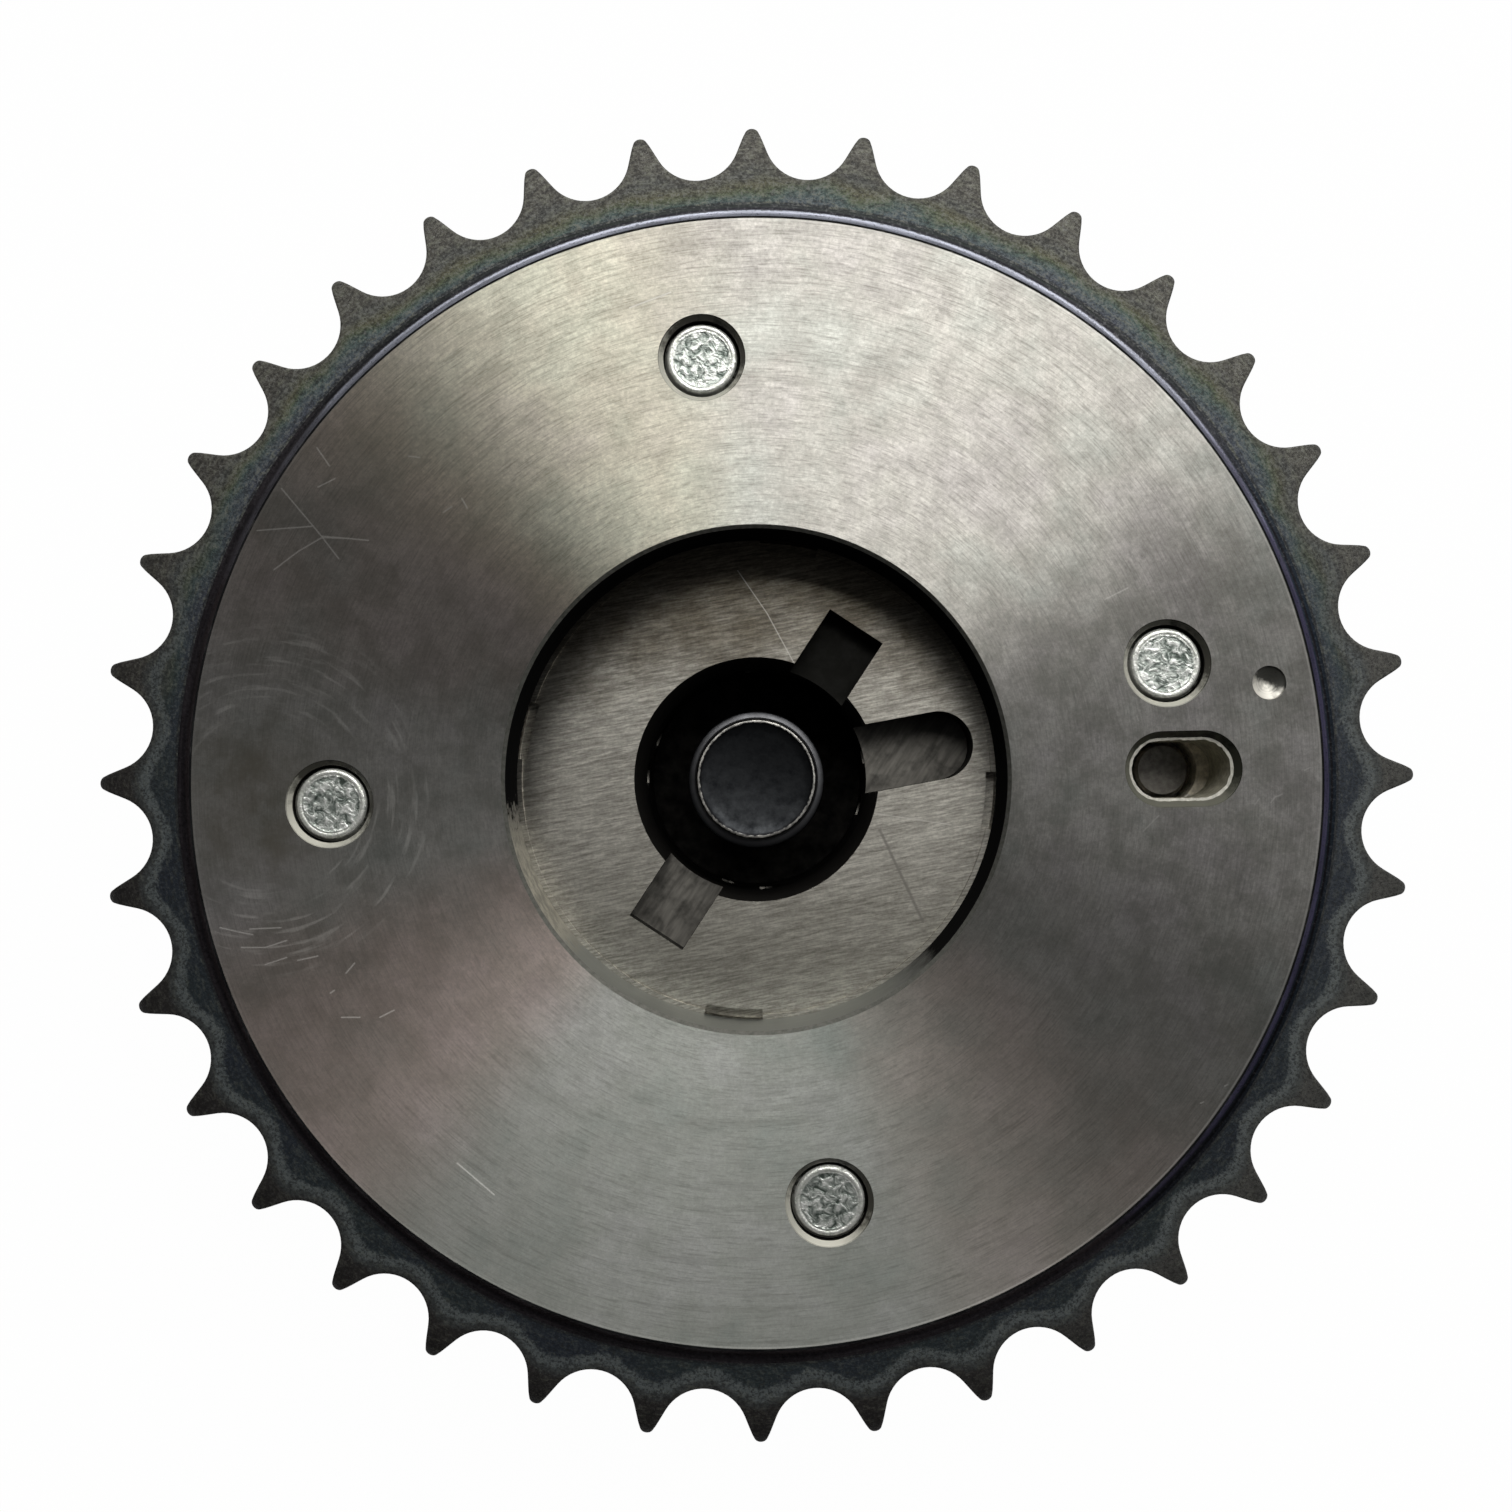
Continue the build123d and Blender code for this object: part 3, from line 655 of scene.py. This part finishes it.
def tooth_outline():
    """One tooth from gullet to gullet, its tip on the real axis: points and outward normals."""
    gullet_centre = root_r + gullet_r
    turn = pi / 2 - flank_lean
    foot = gullet_centre - gullet_r * rect(1, -turn)
    run = rect(1, flank_lean - half_tooth)
    start = foot * rect(1, -half_tooth)
    apex = start.real - start.imag / run.imag * run.real
    tip_round = (apex - outer_r) / (1 / sin(flank_lean - half_tooth) - 1)
    tip_centre = (outer_r - tip_round) * rect(1, half_tooth)
    end = tip_centre + tip_round * rect(1, -turn)
    points = []
    gullet_steps, flank_steps, tip_steps = 9, 4, 7
    for step in range(gullet_steps):
        normal = rect(1, -turn * step / gullet_steps)
        points.append((gullet_centre - gullet_r * normal, normal))
    for step in range(flank_steps):
        points.append((foot + (end - foot) * step / flank_steps, rect(1, -turn)))
    for step in range(tip_steps + 1):
        normal = rect(1, -turn + (turn + half_tooth) * step / tip_steps)
        points.append((tip_centre + tip_round * normal, normal))
    back = rect(1, -half_tooth)
    half = [(point * back, normal * back) for point, normal in points]
    mirrored = [(point.conjugate(), normal.conjugate()) for point, normal in reversed(half[:-1])]
    return half + mirrored


def sprocket_section(edge, normal):
    """Section of the sprocket under one outline point: places in plan, heights and each face's finish."""
    wall, disc, rim, ring, bevelled, line = range(6)
    disc_steps, fillet_steps, bevel_steps = 6, 8, 3
    spoke = edge / abs(edge)
    rows = [(hole_r * spoke, plate_low, wall), (hole_r * spoke, rear_z - edge_break, bevelled)]
    disc_low, disc_high = hole_r + edge_break, disc_r - edge_break
    for step in range(disc_steps + 1):
        radius = disc_low + (disc_high - disc_low) * step / disc_steps
        rows.append((radius * spoke, rear_z, disc if step < disc_steps else line))
    # The bevel at the disc's edge, the short wall under it and the top of the fillet take the black edge
    # line, which is painted shade.
    rows.append((disc_r * spoke, rear_z - edge_break, line))
    for step in range(fillet_steps + 1):
        turn = pi / 2 * step / fillet_steps
        radius = disc_r + foot_fillet - foot_fillet * cos(turn)
        height = ring_z + foot_fillet - foot_fillet * sin(turn)
        rows.append((radius * spoke, height, line if step < 2 else rim))
    inner = (disc_r + foot_fillet + foot_band) * spoke
    inset = edge - tooth_bevel * normal
    chamfer_r = outer_r - 2 * tip_chamfer
    crease = (chamfer_r - abs(inner)) / (abs(inset) - abs(inner))
    half = [(inner + (inset - inner) * share, 0.0) for share in (0.0, 0.3, 0.6, min(crease, 0.95))]
    for step in range(bevel_steps + 1):
        turn = pi / 2 * step / bevel_steps
        half.append((edge - tooth_bevel * (1 - sin(turn)) * normal, tooth_bevel * (1 - cos(turn))))
    half = [(place, drop + 0.5 * max(0.0, abs(place) - chamfer_r)) for place, drop in half]
    rows += [(place, ring_z - drop, ring) for place, drop in half]
    rows += [(place, plate_low + drop, ring) for place, drop in reversed(half)]
    return rows


def tooth_sector():
    """The sector of the sprocket under one tooth, open at its two sides."""
    outline = tooth_outline()
    points = []
    for edge, normal in outline:
        section = sprocket_section(edge, normal)
        points += [(place.real, place.imag, height) for place, height, finish in section]
    rows = len(section)
    faces = grid_faces(len(outline), rows, wrap_rows=True)
    finishes = [section[index % rows][2] for index in range(len(faces))]
    sector = mesh_object("tooth_sector", points, faces)
    mark = sector.data.attributes.new("finish", "INT", "FACE")
    mark.data.foreach_set("value", finishes)
    return sector


def node_tree(name, inputs):
    """The nodes of a geometry tree with these named inputs, its given values and its result."""
    tree = bpy.data.node_groups.new(name, "GeometryNodeTree")
    for way in ("OUTPUT", "INPUT"):
        tree.interface.new_socket("Geometry", in_out=way, socket_type="NodeSocketGeometry")
    for label, kind in inputs.items():
        tree.interface.new_socket(label, in_out="INPUT", socket_type=f"NodeSocket{kind}")
    nodes = Nodes(tree)
    return nodes, nodes.node("NodeGroupInput").outputs, nodes.node("NodeGroupOutput").inputs[0]


def run_tree(obj, tree, values):
    """Puts the tree on the object, with its inputs set by their identifiers."""
    modifier = obj.modifiers.new(tree.name, "NODES")
    modifier.node_group = tree
    for item in tree.interface.items_tree:
        if item.item_type == "SOCKET" and item.in_out == "INPUT" and item.name in values:
            modifier[item.identifier] = values[item.name]


def repeated(nodes, places, piece, angle):
    """Real copies of the piece at these points, each turned by its angle about Z."""
    settings = (("Points", places), ("Instance", piece), ("Rotation", nodes.join(0.0, 0.0, angle)))
    copies = nodes.field("GeometryNodeInstanceOnPoints", named=settings)
    return nodes.field("GeometryNodeRealizeInstances", copies)


def set_materials(nodes, geometry, materials):
    """Gives each numbered finish on the faces its material, one node after another."""
    number = nodes.field("GeometryNodeInputNamedAttribute", "finish", data_type="INT")
    for index, material in enumerate(materials):
        pair = ((2, number), (3, index))
        chosen = nodes.field("FunctionNodeCompare", named=pair, data_type="INT", operation="EQUAL")
        geometry = nodes.field("GeometryNodeSetMaterial", geometry, chosen, material)
    return geometry


def sprocket_tree(materials):
    """Turns one tooth sector round the axis once for each tooth, and joins the copies."""
    nodes, given, result = node_tree("sprocket_teeth", {
        "Tooth Count": "Int", "First Tooth Angle": "Float", "Seam Distance": "Float"})
    places = nodes.field("GeometryNodePoints", given["Tooth Count"])
    step = nodes.maths("DIVIDE", 2 * pi, given["Tooth Count"])
    index = nodes.field("GeometryNodeInputIndex")
    angle = nodes.maths("MULTIPLY_ADD", index, step, given["First Tooth Angle"])
    real = repeated(nodes, places, given["Geometry"], angle)
    seams = nodes.field("GeometryNodeMergeByDistance", real, named=(("Distance", given["Seam Distance"]),))
    nodes.plug(result, set_materials(nodes, seams, materials))
    return nodes.tree


def lathe(name, rows, columns, shape=None, bands=(0,)):
    """A turned piece about the Z axis from radius and height rows. shape may give a place its own radius.
    bands gives the material number between each row and the next, the last one holding on."""
    points = []
    for column in range(columns + 1):
        angle = 2 * pi * column / columns
        for row, (radius, height) in enumerate(rows):
            if shape:
                radius = shape(angle, row, radius, height)
            place = rect(radius, angle)
            points.append((place.real, place.imag, height))
    numbers = [bands[min(row, len(bands) - 1)] for row in range(len(rows) - 1)]
    faces = grid_faces(columns + 1, len(rows), wrap_rows=False)
    return closed(mesh_object(name, points, faces, numbers * columns))


def moved(obj, place, turn=0.0):
    """The mesh itself turned about Z and moved to this place in plan."""
    shift = Matrix.Translation((place.real * mm, place.imag * mm, 0))
    obj.data.transform(shift @ Matrix.Rotation(turn, 4, "Z"))
    return obj


def slot_outline(length, width):
    """Round-ended slot about the origin, as evenly spread complex numbers."""
    straight = (length - width) / 2
    round_steps, straight_steps = 28, 16
    half = []
    for step in range(round_steps + 1):
        half.append(straight + rect(width / 2, pi * (step / round_steps - 0.5)))
    for step in range(1, straight_steps):
        half.append(straight - 2 * straight * step / straight_steps + width / 2 * 1j)
    return half + [-point for point in half]


# What the cutters leave behind: their place in the list of materials that cut() gives them
cut_face, lip_face, dark_face, sink_face, punch_face, wall_face = range(6)


def slot_cutter():
    """Slot over the lock pin: a chamfer, and a pale lip inside it with small burrs."""
    burrs = random.Random(5)
    lip_w = 0.2
    lip_z = rear_z - slot_chamfer
    levels = [
        (0.0, plate_low - 1, 0.0), (0.0, lip_z + 0.03, 0.04), (lip_w, lip_z + 0.08, 0.025),
        (slot_chamfer, rear_z, 0.0), (slot_chamfer, rear_z + 1, 0.0),
    ]
    points = []
    for grow, height, ragged in levels:
        for point in slot_outline(slot_len + 2 * grow, slot_w + 2 * grow):
            place = point * (1 + ragged * burrs.uniform(-1, 1) / abs(point))
            points.append((place.real, place.imag, height))
    around = len(points) // len(levels)
    faces = grid_faces(len(levels), around, wrap_rows=True)
    faces += [tuple(range(around)), tuple(range(len(points) - around, len(points)))]
    numbers = [finish for finish in (wall_face, lip_face, cut_face, cut_face) for _ in range(around)]
    numbers += [cut_face, cut_face]
    return moved(closed(mesh_object("slot_cutter", points, faces, numbers)), slot_place, slot_angle)


def hole_cutter(number, place):
    """Tapped hole through the sprocket with its countersink."""
    depth = m6_sink_r - m6_tap_r
    rows = [
        (0, plate_low - 1), (m6_tap_r, plate_low - 1), (m6_tap_r, rear_z - depth), (m6_sink_r, rear_z),
        (m6_sink_r, rear_z + 1), (0, rear_z + 1),
    ]
    bands = (dark_face, dark_face, sink_face)
    return moved(lathe(f"hole_cutter_{number}", rows, 72, bands=bands), complex(place.x, place.y) / mm)


def dimple_cutter():
    """Punch mark near the edge of the disc."""
    rows = [(dimple_r * out, rear_z - dimple_depth * deep) for out, deep in (
        (0, 1), (0.25, 0.88), (0.6, 0.58), (0.94, 0.26), (1, 0))]
    rows += [(dimple_r, rear_z + 1), (0, rear_z + 1)]
    return moved(lathe("dimple_cutter", rows, 48, bands=(punch_face,)), dimple_place)


def cut(piece, cutters):
    """Cuts the joined cutters out of the piece, which takes the cutters' materials on the new walls."""
    work = bmesh.new()
    for cutter in cutters:
        work.from_mesh(cutter.data)
        bpy.data.objects.remove(cutter)
    tool = placed("cutters", bpy.data.meshes.new("cutters"))
    work.to_mesh(tool.data)
    work.free()
    for key in ("cut", "lip", "bore", "sink", "punch", "wall"):
        tool.data.materials.append(finishes[key])
    modifier = piece.modifiers.new("holes", "BOOLEAN")
    modifier.object = tool
    modifier.solver = "EXACT"
    modifier.material_mode = "TRANSFER"
    made = finished(piece, piece.name)
    bpy.data.objects.remove(tool)
    return made


def sprocket():
    """Sprocket with its raised turned disc: one tooth sector repeated, then the holes and the punch mark."""
    sector = tooth_sector()
    tree = sprocket_tree([finishes[key] for key in ("hole", "disc", "foot", "ring", "edge", "line")])
    run_tree(sector, tree, {
        "Tooth Count": tooth_count, "First Tooth Angle": tooth_phase, "Seam Distance": 0.002 * mm})
    made = finished(sector, "toothed_disc")
    cutters = [hole_cutter(number, place) for number, place in enumerate(bolt_places)]
    made = cut(closed(made), cutters + [slot_cutter(), dimple_cutter()])
    smooth(made.data)
    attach(made, "housing_assembly")
    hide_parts("sprocket")


def hexagon(angle, across_flats):
    """Radius of a hexagon of this size across flats in this direction."""
    return across_flats / 2 / cos((angle + pi / 6) % (pi / 3) - pi / 6)


def thread(angle, height, crest, depth, pitch):
    """Radius of a rolled thread: round roots, and crests with a small flat."""
    turn = (height / pitch - angle / (2 * pi)) % 1.0
    groove = 0.5 + 0.5 * cos(2 * pi * turn)
    return crest - depth * min(1.0, 1.25 * groove)


def housing_bolt():
    """One socket head bolt on the Z axis, its end at the sprocket face and its head on z = 0."""
    top = rear_z - 0.3
    thread_low = plate_low - 1
    thread_steps, end_steps = 60, 16
    run = top - 0.6 - thread_low
    rows = [(0, 2.4), (2.5, 2.4), (2.5, 0.0), (4.6, 0.0), (4.75, 0.03), (4.9, 0.12), (5.0, 0.4)]
    socket_rows = (1, 2)
    rows += [(5.0, 3.85), (4.95, 3.96), (4.85, 4.0), (2.75, 4.0), (2.6, 4.15), (2.6, thread_low)]
    thread_rows = range(len(rows), len(rows) + thread_steps)
    rows += [(m6_thread_r, thread_low + run * (step + 1) / thread_steps) for step in range(thread_steps)]
    rows += [(radius, top - drop) for radius, drop in (
        (2.66, 0.46), (2.52, 0.32), (2.44, 0.14), (2.36, 0.04), (2.26, 0.0), (2.12, 0.03), (1.98, 0.09))]
    rows += [(1.88 * (1 - step / end_steps), top - 0.12) for step in range(end_steps + 1)]

    def shape(angle, row, radius, height):
        if row in socket_rows:
            return hexagon(angle, m6_socket)
        if row in thread_rows:
            return thread(angle, height, m6_thread_r, m6_thread_depth, m6_pitch)
        return radius

    return lathe("housing_bolt", rows, 72, shape)


def bolts_tree():
    """Puts a bolt at each point, turned at random, and pits the sheared ends."""
    nodes, given, result = node_tree("housing_bolts", {
        "Bolt": "Object", "Seed": "Int", "End Height": "Float", "Pit Depth": "Float", "Pit Scale": "Float"})
    bolt = nodes.field("GeometryNodeObjectInfo", given["Bolt"], output="Geometry")
    settings = ((3, 2 * pi), ("Seed", given["Seed"]))
    spin = nodes.field("FunctionNodeRandomValue", output=1, named=settings, data_type="FLOAT")
    real = repeated(nodes, given["Geometry"], bolt, spin)
    height = nodes.split(nodes.field("GeometryNodeInputPosition"))[2]
    on_end = nodes.field("FunctionNodeCompare", height, given["End Height"], operation="GREATER_THAN")
    pits = nodes.field("ShaderNodeTexNoise", named=(("Scale", given["Pit Scale"]), ("Detail", 3.0)))
    offset = nodes.join(0.0, 0.0, pits * given["Pit Depth"] * -1.0)
    pitted = nodes.field("GeometryNodeSetPosition", real, on_end, named=(("Offset", offset),))
    paint = nodes.field("GeometryNodeSetMaterial", pitted, named=(("Material", finishes["zinc"]),))
    nodes.plug(result, paint)
    return nodes.tree


def housing_bolts():
    """The four housing bolts, made from one and repeated at the places of the frame's bolts."""
    bolt = housing_bolt()
    places = mesh_object("bolt_places", [(place.x / mm, place.y / mm, 0) for place in bolt_places], [])
    run_tree(places, bolts_tree(), {
        "Bolt": bolt, "Seed": 7, "End Height": (rear_z - 0.43) * mm, "Pit Depth": 0.09 * mm,
        "Pit Scale": 1.5 / mm})
    made = finished(places, "socket_bolts")
    bpy.data.objects.remove(bolt)
    smooth(made.data, 38.0)
    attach(made, "housing_assembly")
    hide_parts(*bolt_names)


def centre_bolt():
    """Flanged hex bolt with its thread, a plain shallow dish in its end and a rim round it."""
    base, flange_top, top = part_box("centre_bolt")[0].z / mm, rotor_low, bolt_end_z
    thread_low, thread_top = flange_top + 0.2, top - 0.75
    thread_steps = 150
    corner = 1.1547
    rows = [(0, base), (6.6, base), (6.95, base + 0.03), (7.5, base + 0.45), (7.5, flange_top - 2.0)]
    rows += [(radius, flange_top - drop) for radius, drop in (
        (9.7, 1.8), (9.95, 1.6), (10.0, 1.3), (10.0, 0.15), (9.85, 0.0), (m10_r, 0.0))]
    thread_rows = range(len(rows), len(rows) + thread_steps + 1)
    run = thread_top - thread_low
    rows += [(m10_r, thread_low + run * step / thread_steps) for step in range(thread_steps + 1)]
    rows += [(radius, top - drop) for radius, drop in (
        (4.5, 0.6), (4.36, 0.3), (4.32, 0.1), (4.26, 0.02), (4.18, 0.0), (4.06, 0.01), (dish_r, 0.07))]
    for share in (0.15, 0.35, 0.6, 0.8, 1.0):
        rows.append((dish_r * (1 - share), top - 0.1 - dish_depth * sin(pi / 2 * share)))

    def shape(angle, row, radius, height):
        if row in (1, 2, 3, 4):
            return min(hexagon(angle, m10_head), radius * corner if row > 2 else radius)
        if row in thread_rows:
            fade = max(0.0, min(1.0, (height - thread_low) / 1.5, (thread_top + 0.1 - height) / 0.6))
            return thread(angle, height, m10_r - 0.02, m10_thread_depth * fade, m10_pitch)
        return radius

    made = lathe("centre_bolt_piece", rows, 96, shape)
    made.data.materials.append(finishes["oxide"])
    smooth(made.data, 38.0)
    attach(made, "rotor_assembly")
    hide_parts("centre_bolt")


def flat_faces(mesh):
    """Keeps faces that lie across the axis evenly lit, up to the broken edges round them."""
    normals = [corner.vector.copy() for corner in mesh.corner_normals]
    for face in mesh.polygons:
        if abs(face.normal.z) > 0.9995:
            for corner in face.loop_indices:
                normals[corner] = face.normal.copy()
    mesh.normals_split_custom_set(normals)


def node_copy(node, name, keys):
    """A copy of a CAD node with the finishes of these names, and without its stored normals."""
    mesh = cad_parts[node].data.copy()
    mesh.materials.clear()
    for key in keys:
        mesh.materials.append(finishes[key])
    if "custom_normal" in mesh.attributes:
        mesh.attributes.remove(mesh.attributes["custom_normal"])
    return placed(name, mesh)


def softened(node, name, body, keys, width, pick=None):
    """A merged copy of a CAD node with small broken edges. pick chooses each face's material number."""
    obj = node_copy(node, name, keys)
    work = bmesh.new()
    work.from_mesh(obj.data)
    bmesh.ops.remove_doubles(work, verts=work.verts, dist=0.001 * mm)
    bmesh.ops.dissolve_limit(work, angle_limit=radians(0.5), verts=work.verts, edges=work.edges)
    steep = radians(50)
    sharp = [edge for edge in work.edges if edge.is_manifold and edge.calc_face_angle(0.0) > steep]
    bmesh.ops.bevel(
        work, geom=sharp, offset=width * mm, segments=2, profile=0.5, affect="EDGES", clamp_overlap=True)
    work.normal_update()
    for face in work.faces:
        face.material_index = pick(face) if pick else 0
    work.to_mesh(obj.data)
    work.free()
    smooth(obj.data)
    flat_faces(obj.data)
    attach(obj, body)
    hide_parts(node)


def rotor_finish(face):
    """Ground steel on the rear seat and on the front, dull pockets and vanes, dark bores and sides."""
    middle = face.calc_center_median() / mm
    out = middle.xy.length
    across = abs(face.normal.z)
    hub_r, seat_r, pocket_r = 20.0, 16.5, m10_r + 4.0
    ground, bore, pocket, vane = range(4)
    if out > hub_r:
        return vane
    if middle.z < rotor_low + 0.45:
        return ground if across > 0.9 else bore
    if middle.z > rotor_top - 0.5 or (out > seat_r and middle.z > rotor_top - 1.5):
        return ground if across > 0.2 or out > seat_r else bore
    return pocket if across > 0.9 and out > pocket_r else bore


def lock_pin_spring():
    """Copy of the lock pin's spring, merged and smoothed, on the rotor with a mesh of its own."""
    made = node_copy("lock_pin_spring", "pin_spring", ["spring"])
    smooth(closed(made).data)
    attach(made, "rotor_assembly")
    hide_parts("lock_pin_spring")
    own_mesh(made)


def kept_nodes():
    """Finishes for the CAD pieces that keep their own shape."""
    for name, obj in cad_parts.items():
        if name.startswith(("vane_seal_spring", "lobe_seal_spring")):
            material, slot = finishes["spring"], "spring_steel"
        elif name.startswith(("vane_seal", "lobe_seal")):
            material, slot = finishes["seal"], "seal_polymer"
        elif name == "lock_pin":
            material, slot = finishes["pin"], "pin_steel"
        else:
            continue
        obj.data.materials.clear()
        obj.data.materials.append(material)


def floor():
    """Plain pale floor, white to the camera and in the metal, that keeps a faint shadow."""
    white_share = 0.985
    bpy.ops.mesh.primitive_plane_add(size=6.0, location=(0, 0, -0.0002))
    plane = bpy.context.object
    plane.name = "floor"
    material = bpy.data.materials.new("floor_paint")
    material.use_nodes = True
    nodes = Nodes(material.node_tree)
    paint = nodes.tree.nodes["Principled BSDF"]
    nodes.plug(paint.inputs["Base Color"], (0.82, 0.82, 0.82, 1.0))
    nodes.plug(paint.inputs["Roughness"], 0.9)
    glow = nodes.field("ShaderNodeEmission", named=(("Strength", 1.0),))
    path = nodes.node("ShaderNodeLightPath").outputs
    in_metal = nodes.maths("MAXIMUM", path["Is Glossy Ray"], path["Is Transmission Ray"])
    share = nodes.maths("MAXIMUM", path["Is Camera Ray"], in_metal) * white_share
    blend = nodes.field("ShaderNodeMixShader", share, paint.outputs[0], glow)
    nodes.plug(nodes.tree.nodes["Material Output"].inputs["Surface"], blend)
    plane.data.materials.append(material)


def room():
    """Soft studio light: a dim room, darkest overhead at the camera, with a paler horizon behind the lamp."""
    world = bpy.data.worlds.new("room")
    bpy.context.scene.world = world
    world.use_nodes = True
    nodes = Nodes(world.node_tree)
    direction = nodes.node("ShaderNodeTexCoord").outputs["Generated"]
    levels = [(0.0, 0.3), (0.15, 0.16), (0.35, 0.09), (0.75, 0.06), (1.0, 0.05)]
    sky = nodes.ramp(nodes.split(direction)[2], [(height, (level, level, level)) for height, level in levels])
    lamp_side = (0.5, 0.87, 0.0)
    side = nodes.field("ShaderNodeVectorMath", direction, lamp_side, output="Value", operation="DOT_PRODUCT")
    background = nodes.tree.nodes["Background"]
    nodes.plug(background.inputs["Color"], sky)
    nodes.plug(background.inputs["Strength"], side.span(-1.0, 1.0, 0.3, 1.7))


def lamp(name, azimuth, elevation, distance, size, power, color):
    """Area lamp aimed at the phaser. Azimuth is measured from +X, anticlockwise."""
    data = bpy.data.lights.new(name, "AREA")
    data.shape = "RECTANGLE"
    data.size, data.size_y = size
    data.energy = power
    data.color = color
    obj = placed(name, data)
    turn, rise = radians(azimuth), radians(elevation)
    out = Vector((cos(turn) * cos(rise), sin(turn) * cos(rise), sin(rise)))
    obj.location = Vector((0, 0, rear_z * mm)) + out * distance
    obj.rotation_euler = (-out).to_track_quat("-Z", "Y").to_euler()
    obj.visible_camera = False


def camera():
    """Camera where the photograph was taken, 102 mm above the disc and nearly on its axis."""
    data = bpy.data.cameras.new("camera")
    data.lens = 34.52
    data.sensor_width = 36.0
    data.clip_start = 0.005
    obj = placed("camera", data)
    place = Vector((0.17, -0.66, rear_z + 102.4)) * mm
    turn = Matrix.Rotation(radians(-1.265), 3, "X") @ Matrix.Rotation(radians(-0.105), 3, "Y")
    obj.matrix_world = Matrix.Translation(place) @ turn.transposed().to_4x4()
    bpy.context.scene.camera = obj


finishes = {
    "disc": turned_disc(),
    "ring": hardened_ring(),
    "foot": foot_steel(),
    "line": edge_line(),
    "hole": hole_wall(),
    "edge": fine_steel("broken_edge", (0.3, 0.3, 0.27), 0.42),
    "cut": cut_steel("slot_chamfer", (0.2, 0.2, 0.165), (0.035, 0.035, 0.026), 0.5),
    "lip": fine_steel("slot_lip", (0.6, 0.59, 0.53), 0.55, 0.15),
    "wall": fine_steel("slot_wall", (0.42, 0.4, 0.32), 0.6, 0.2),
    "sink": cut_steel("countersink", (0.62, 0.61, 0.54), (0.075, 0.072, 0.06), 0.5),
    "punch": cut_steel("punch_mark", (0.8, 0.78, 0.72), (0.07, 0.07, 0.064), 0.5),
    "rotor": ground_steel(),
    "bore": dark_bore(),
    "pocket": pocket_floor(),
    "vane": fine_steel("vane_steel", (0.8, 0.74, 0.62), 0.6, 0.5),
    "zinc": bolt_zinc(),
    "oxide": black_oxide(),
    "housing": machined_steel("housing_steel", (0.32, 0.32, 0.31), 0.42),
    "cover": machined_steel("cover_steel", (0.38, 0.38, 0.37), 0.38),
    "pin": fine_steel("pin_steel", (0.21, 0.2, 0.185), 0.42),
    "spring": fine_steel("spring_steel", (0.42, 0.41, 0.4), 0.32),
    "seal": seal_polymer(),
}

camera()
sprocket()
housing_bolts()
centre_bolt()
rotor_keys = ["rotor", "bore", "pocket", "vane"]
softened("rotor", "rotor_piece", "rotor_assembly", rotor_keys, 0.06, rotor_finish)
softened("housing", "housing_piece", "housing_assembly", ["housing"], 0.12)
softened("front_cover", "front_cover_piece", "housing_assembly", ["cover"], 0.15)
lock_pin_spring()
kept_nodes()
floor()
room()
lamp("main_lamp", 78, 50, 0.55, (0.64, 0.27), 2.95, (1.0, 0.985, 0.945))
lamp("side_lamp", 8, 48, 0.55, (0.3, 0.25), 0.16, (1.0, 0.99, 0.97))
bpy.context.scene.view_settings.view_transform = "Standard"
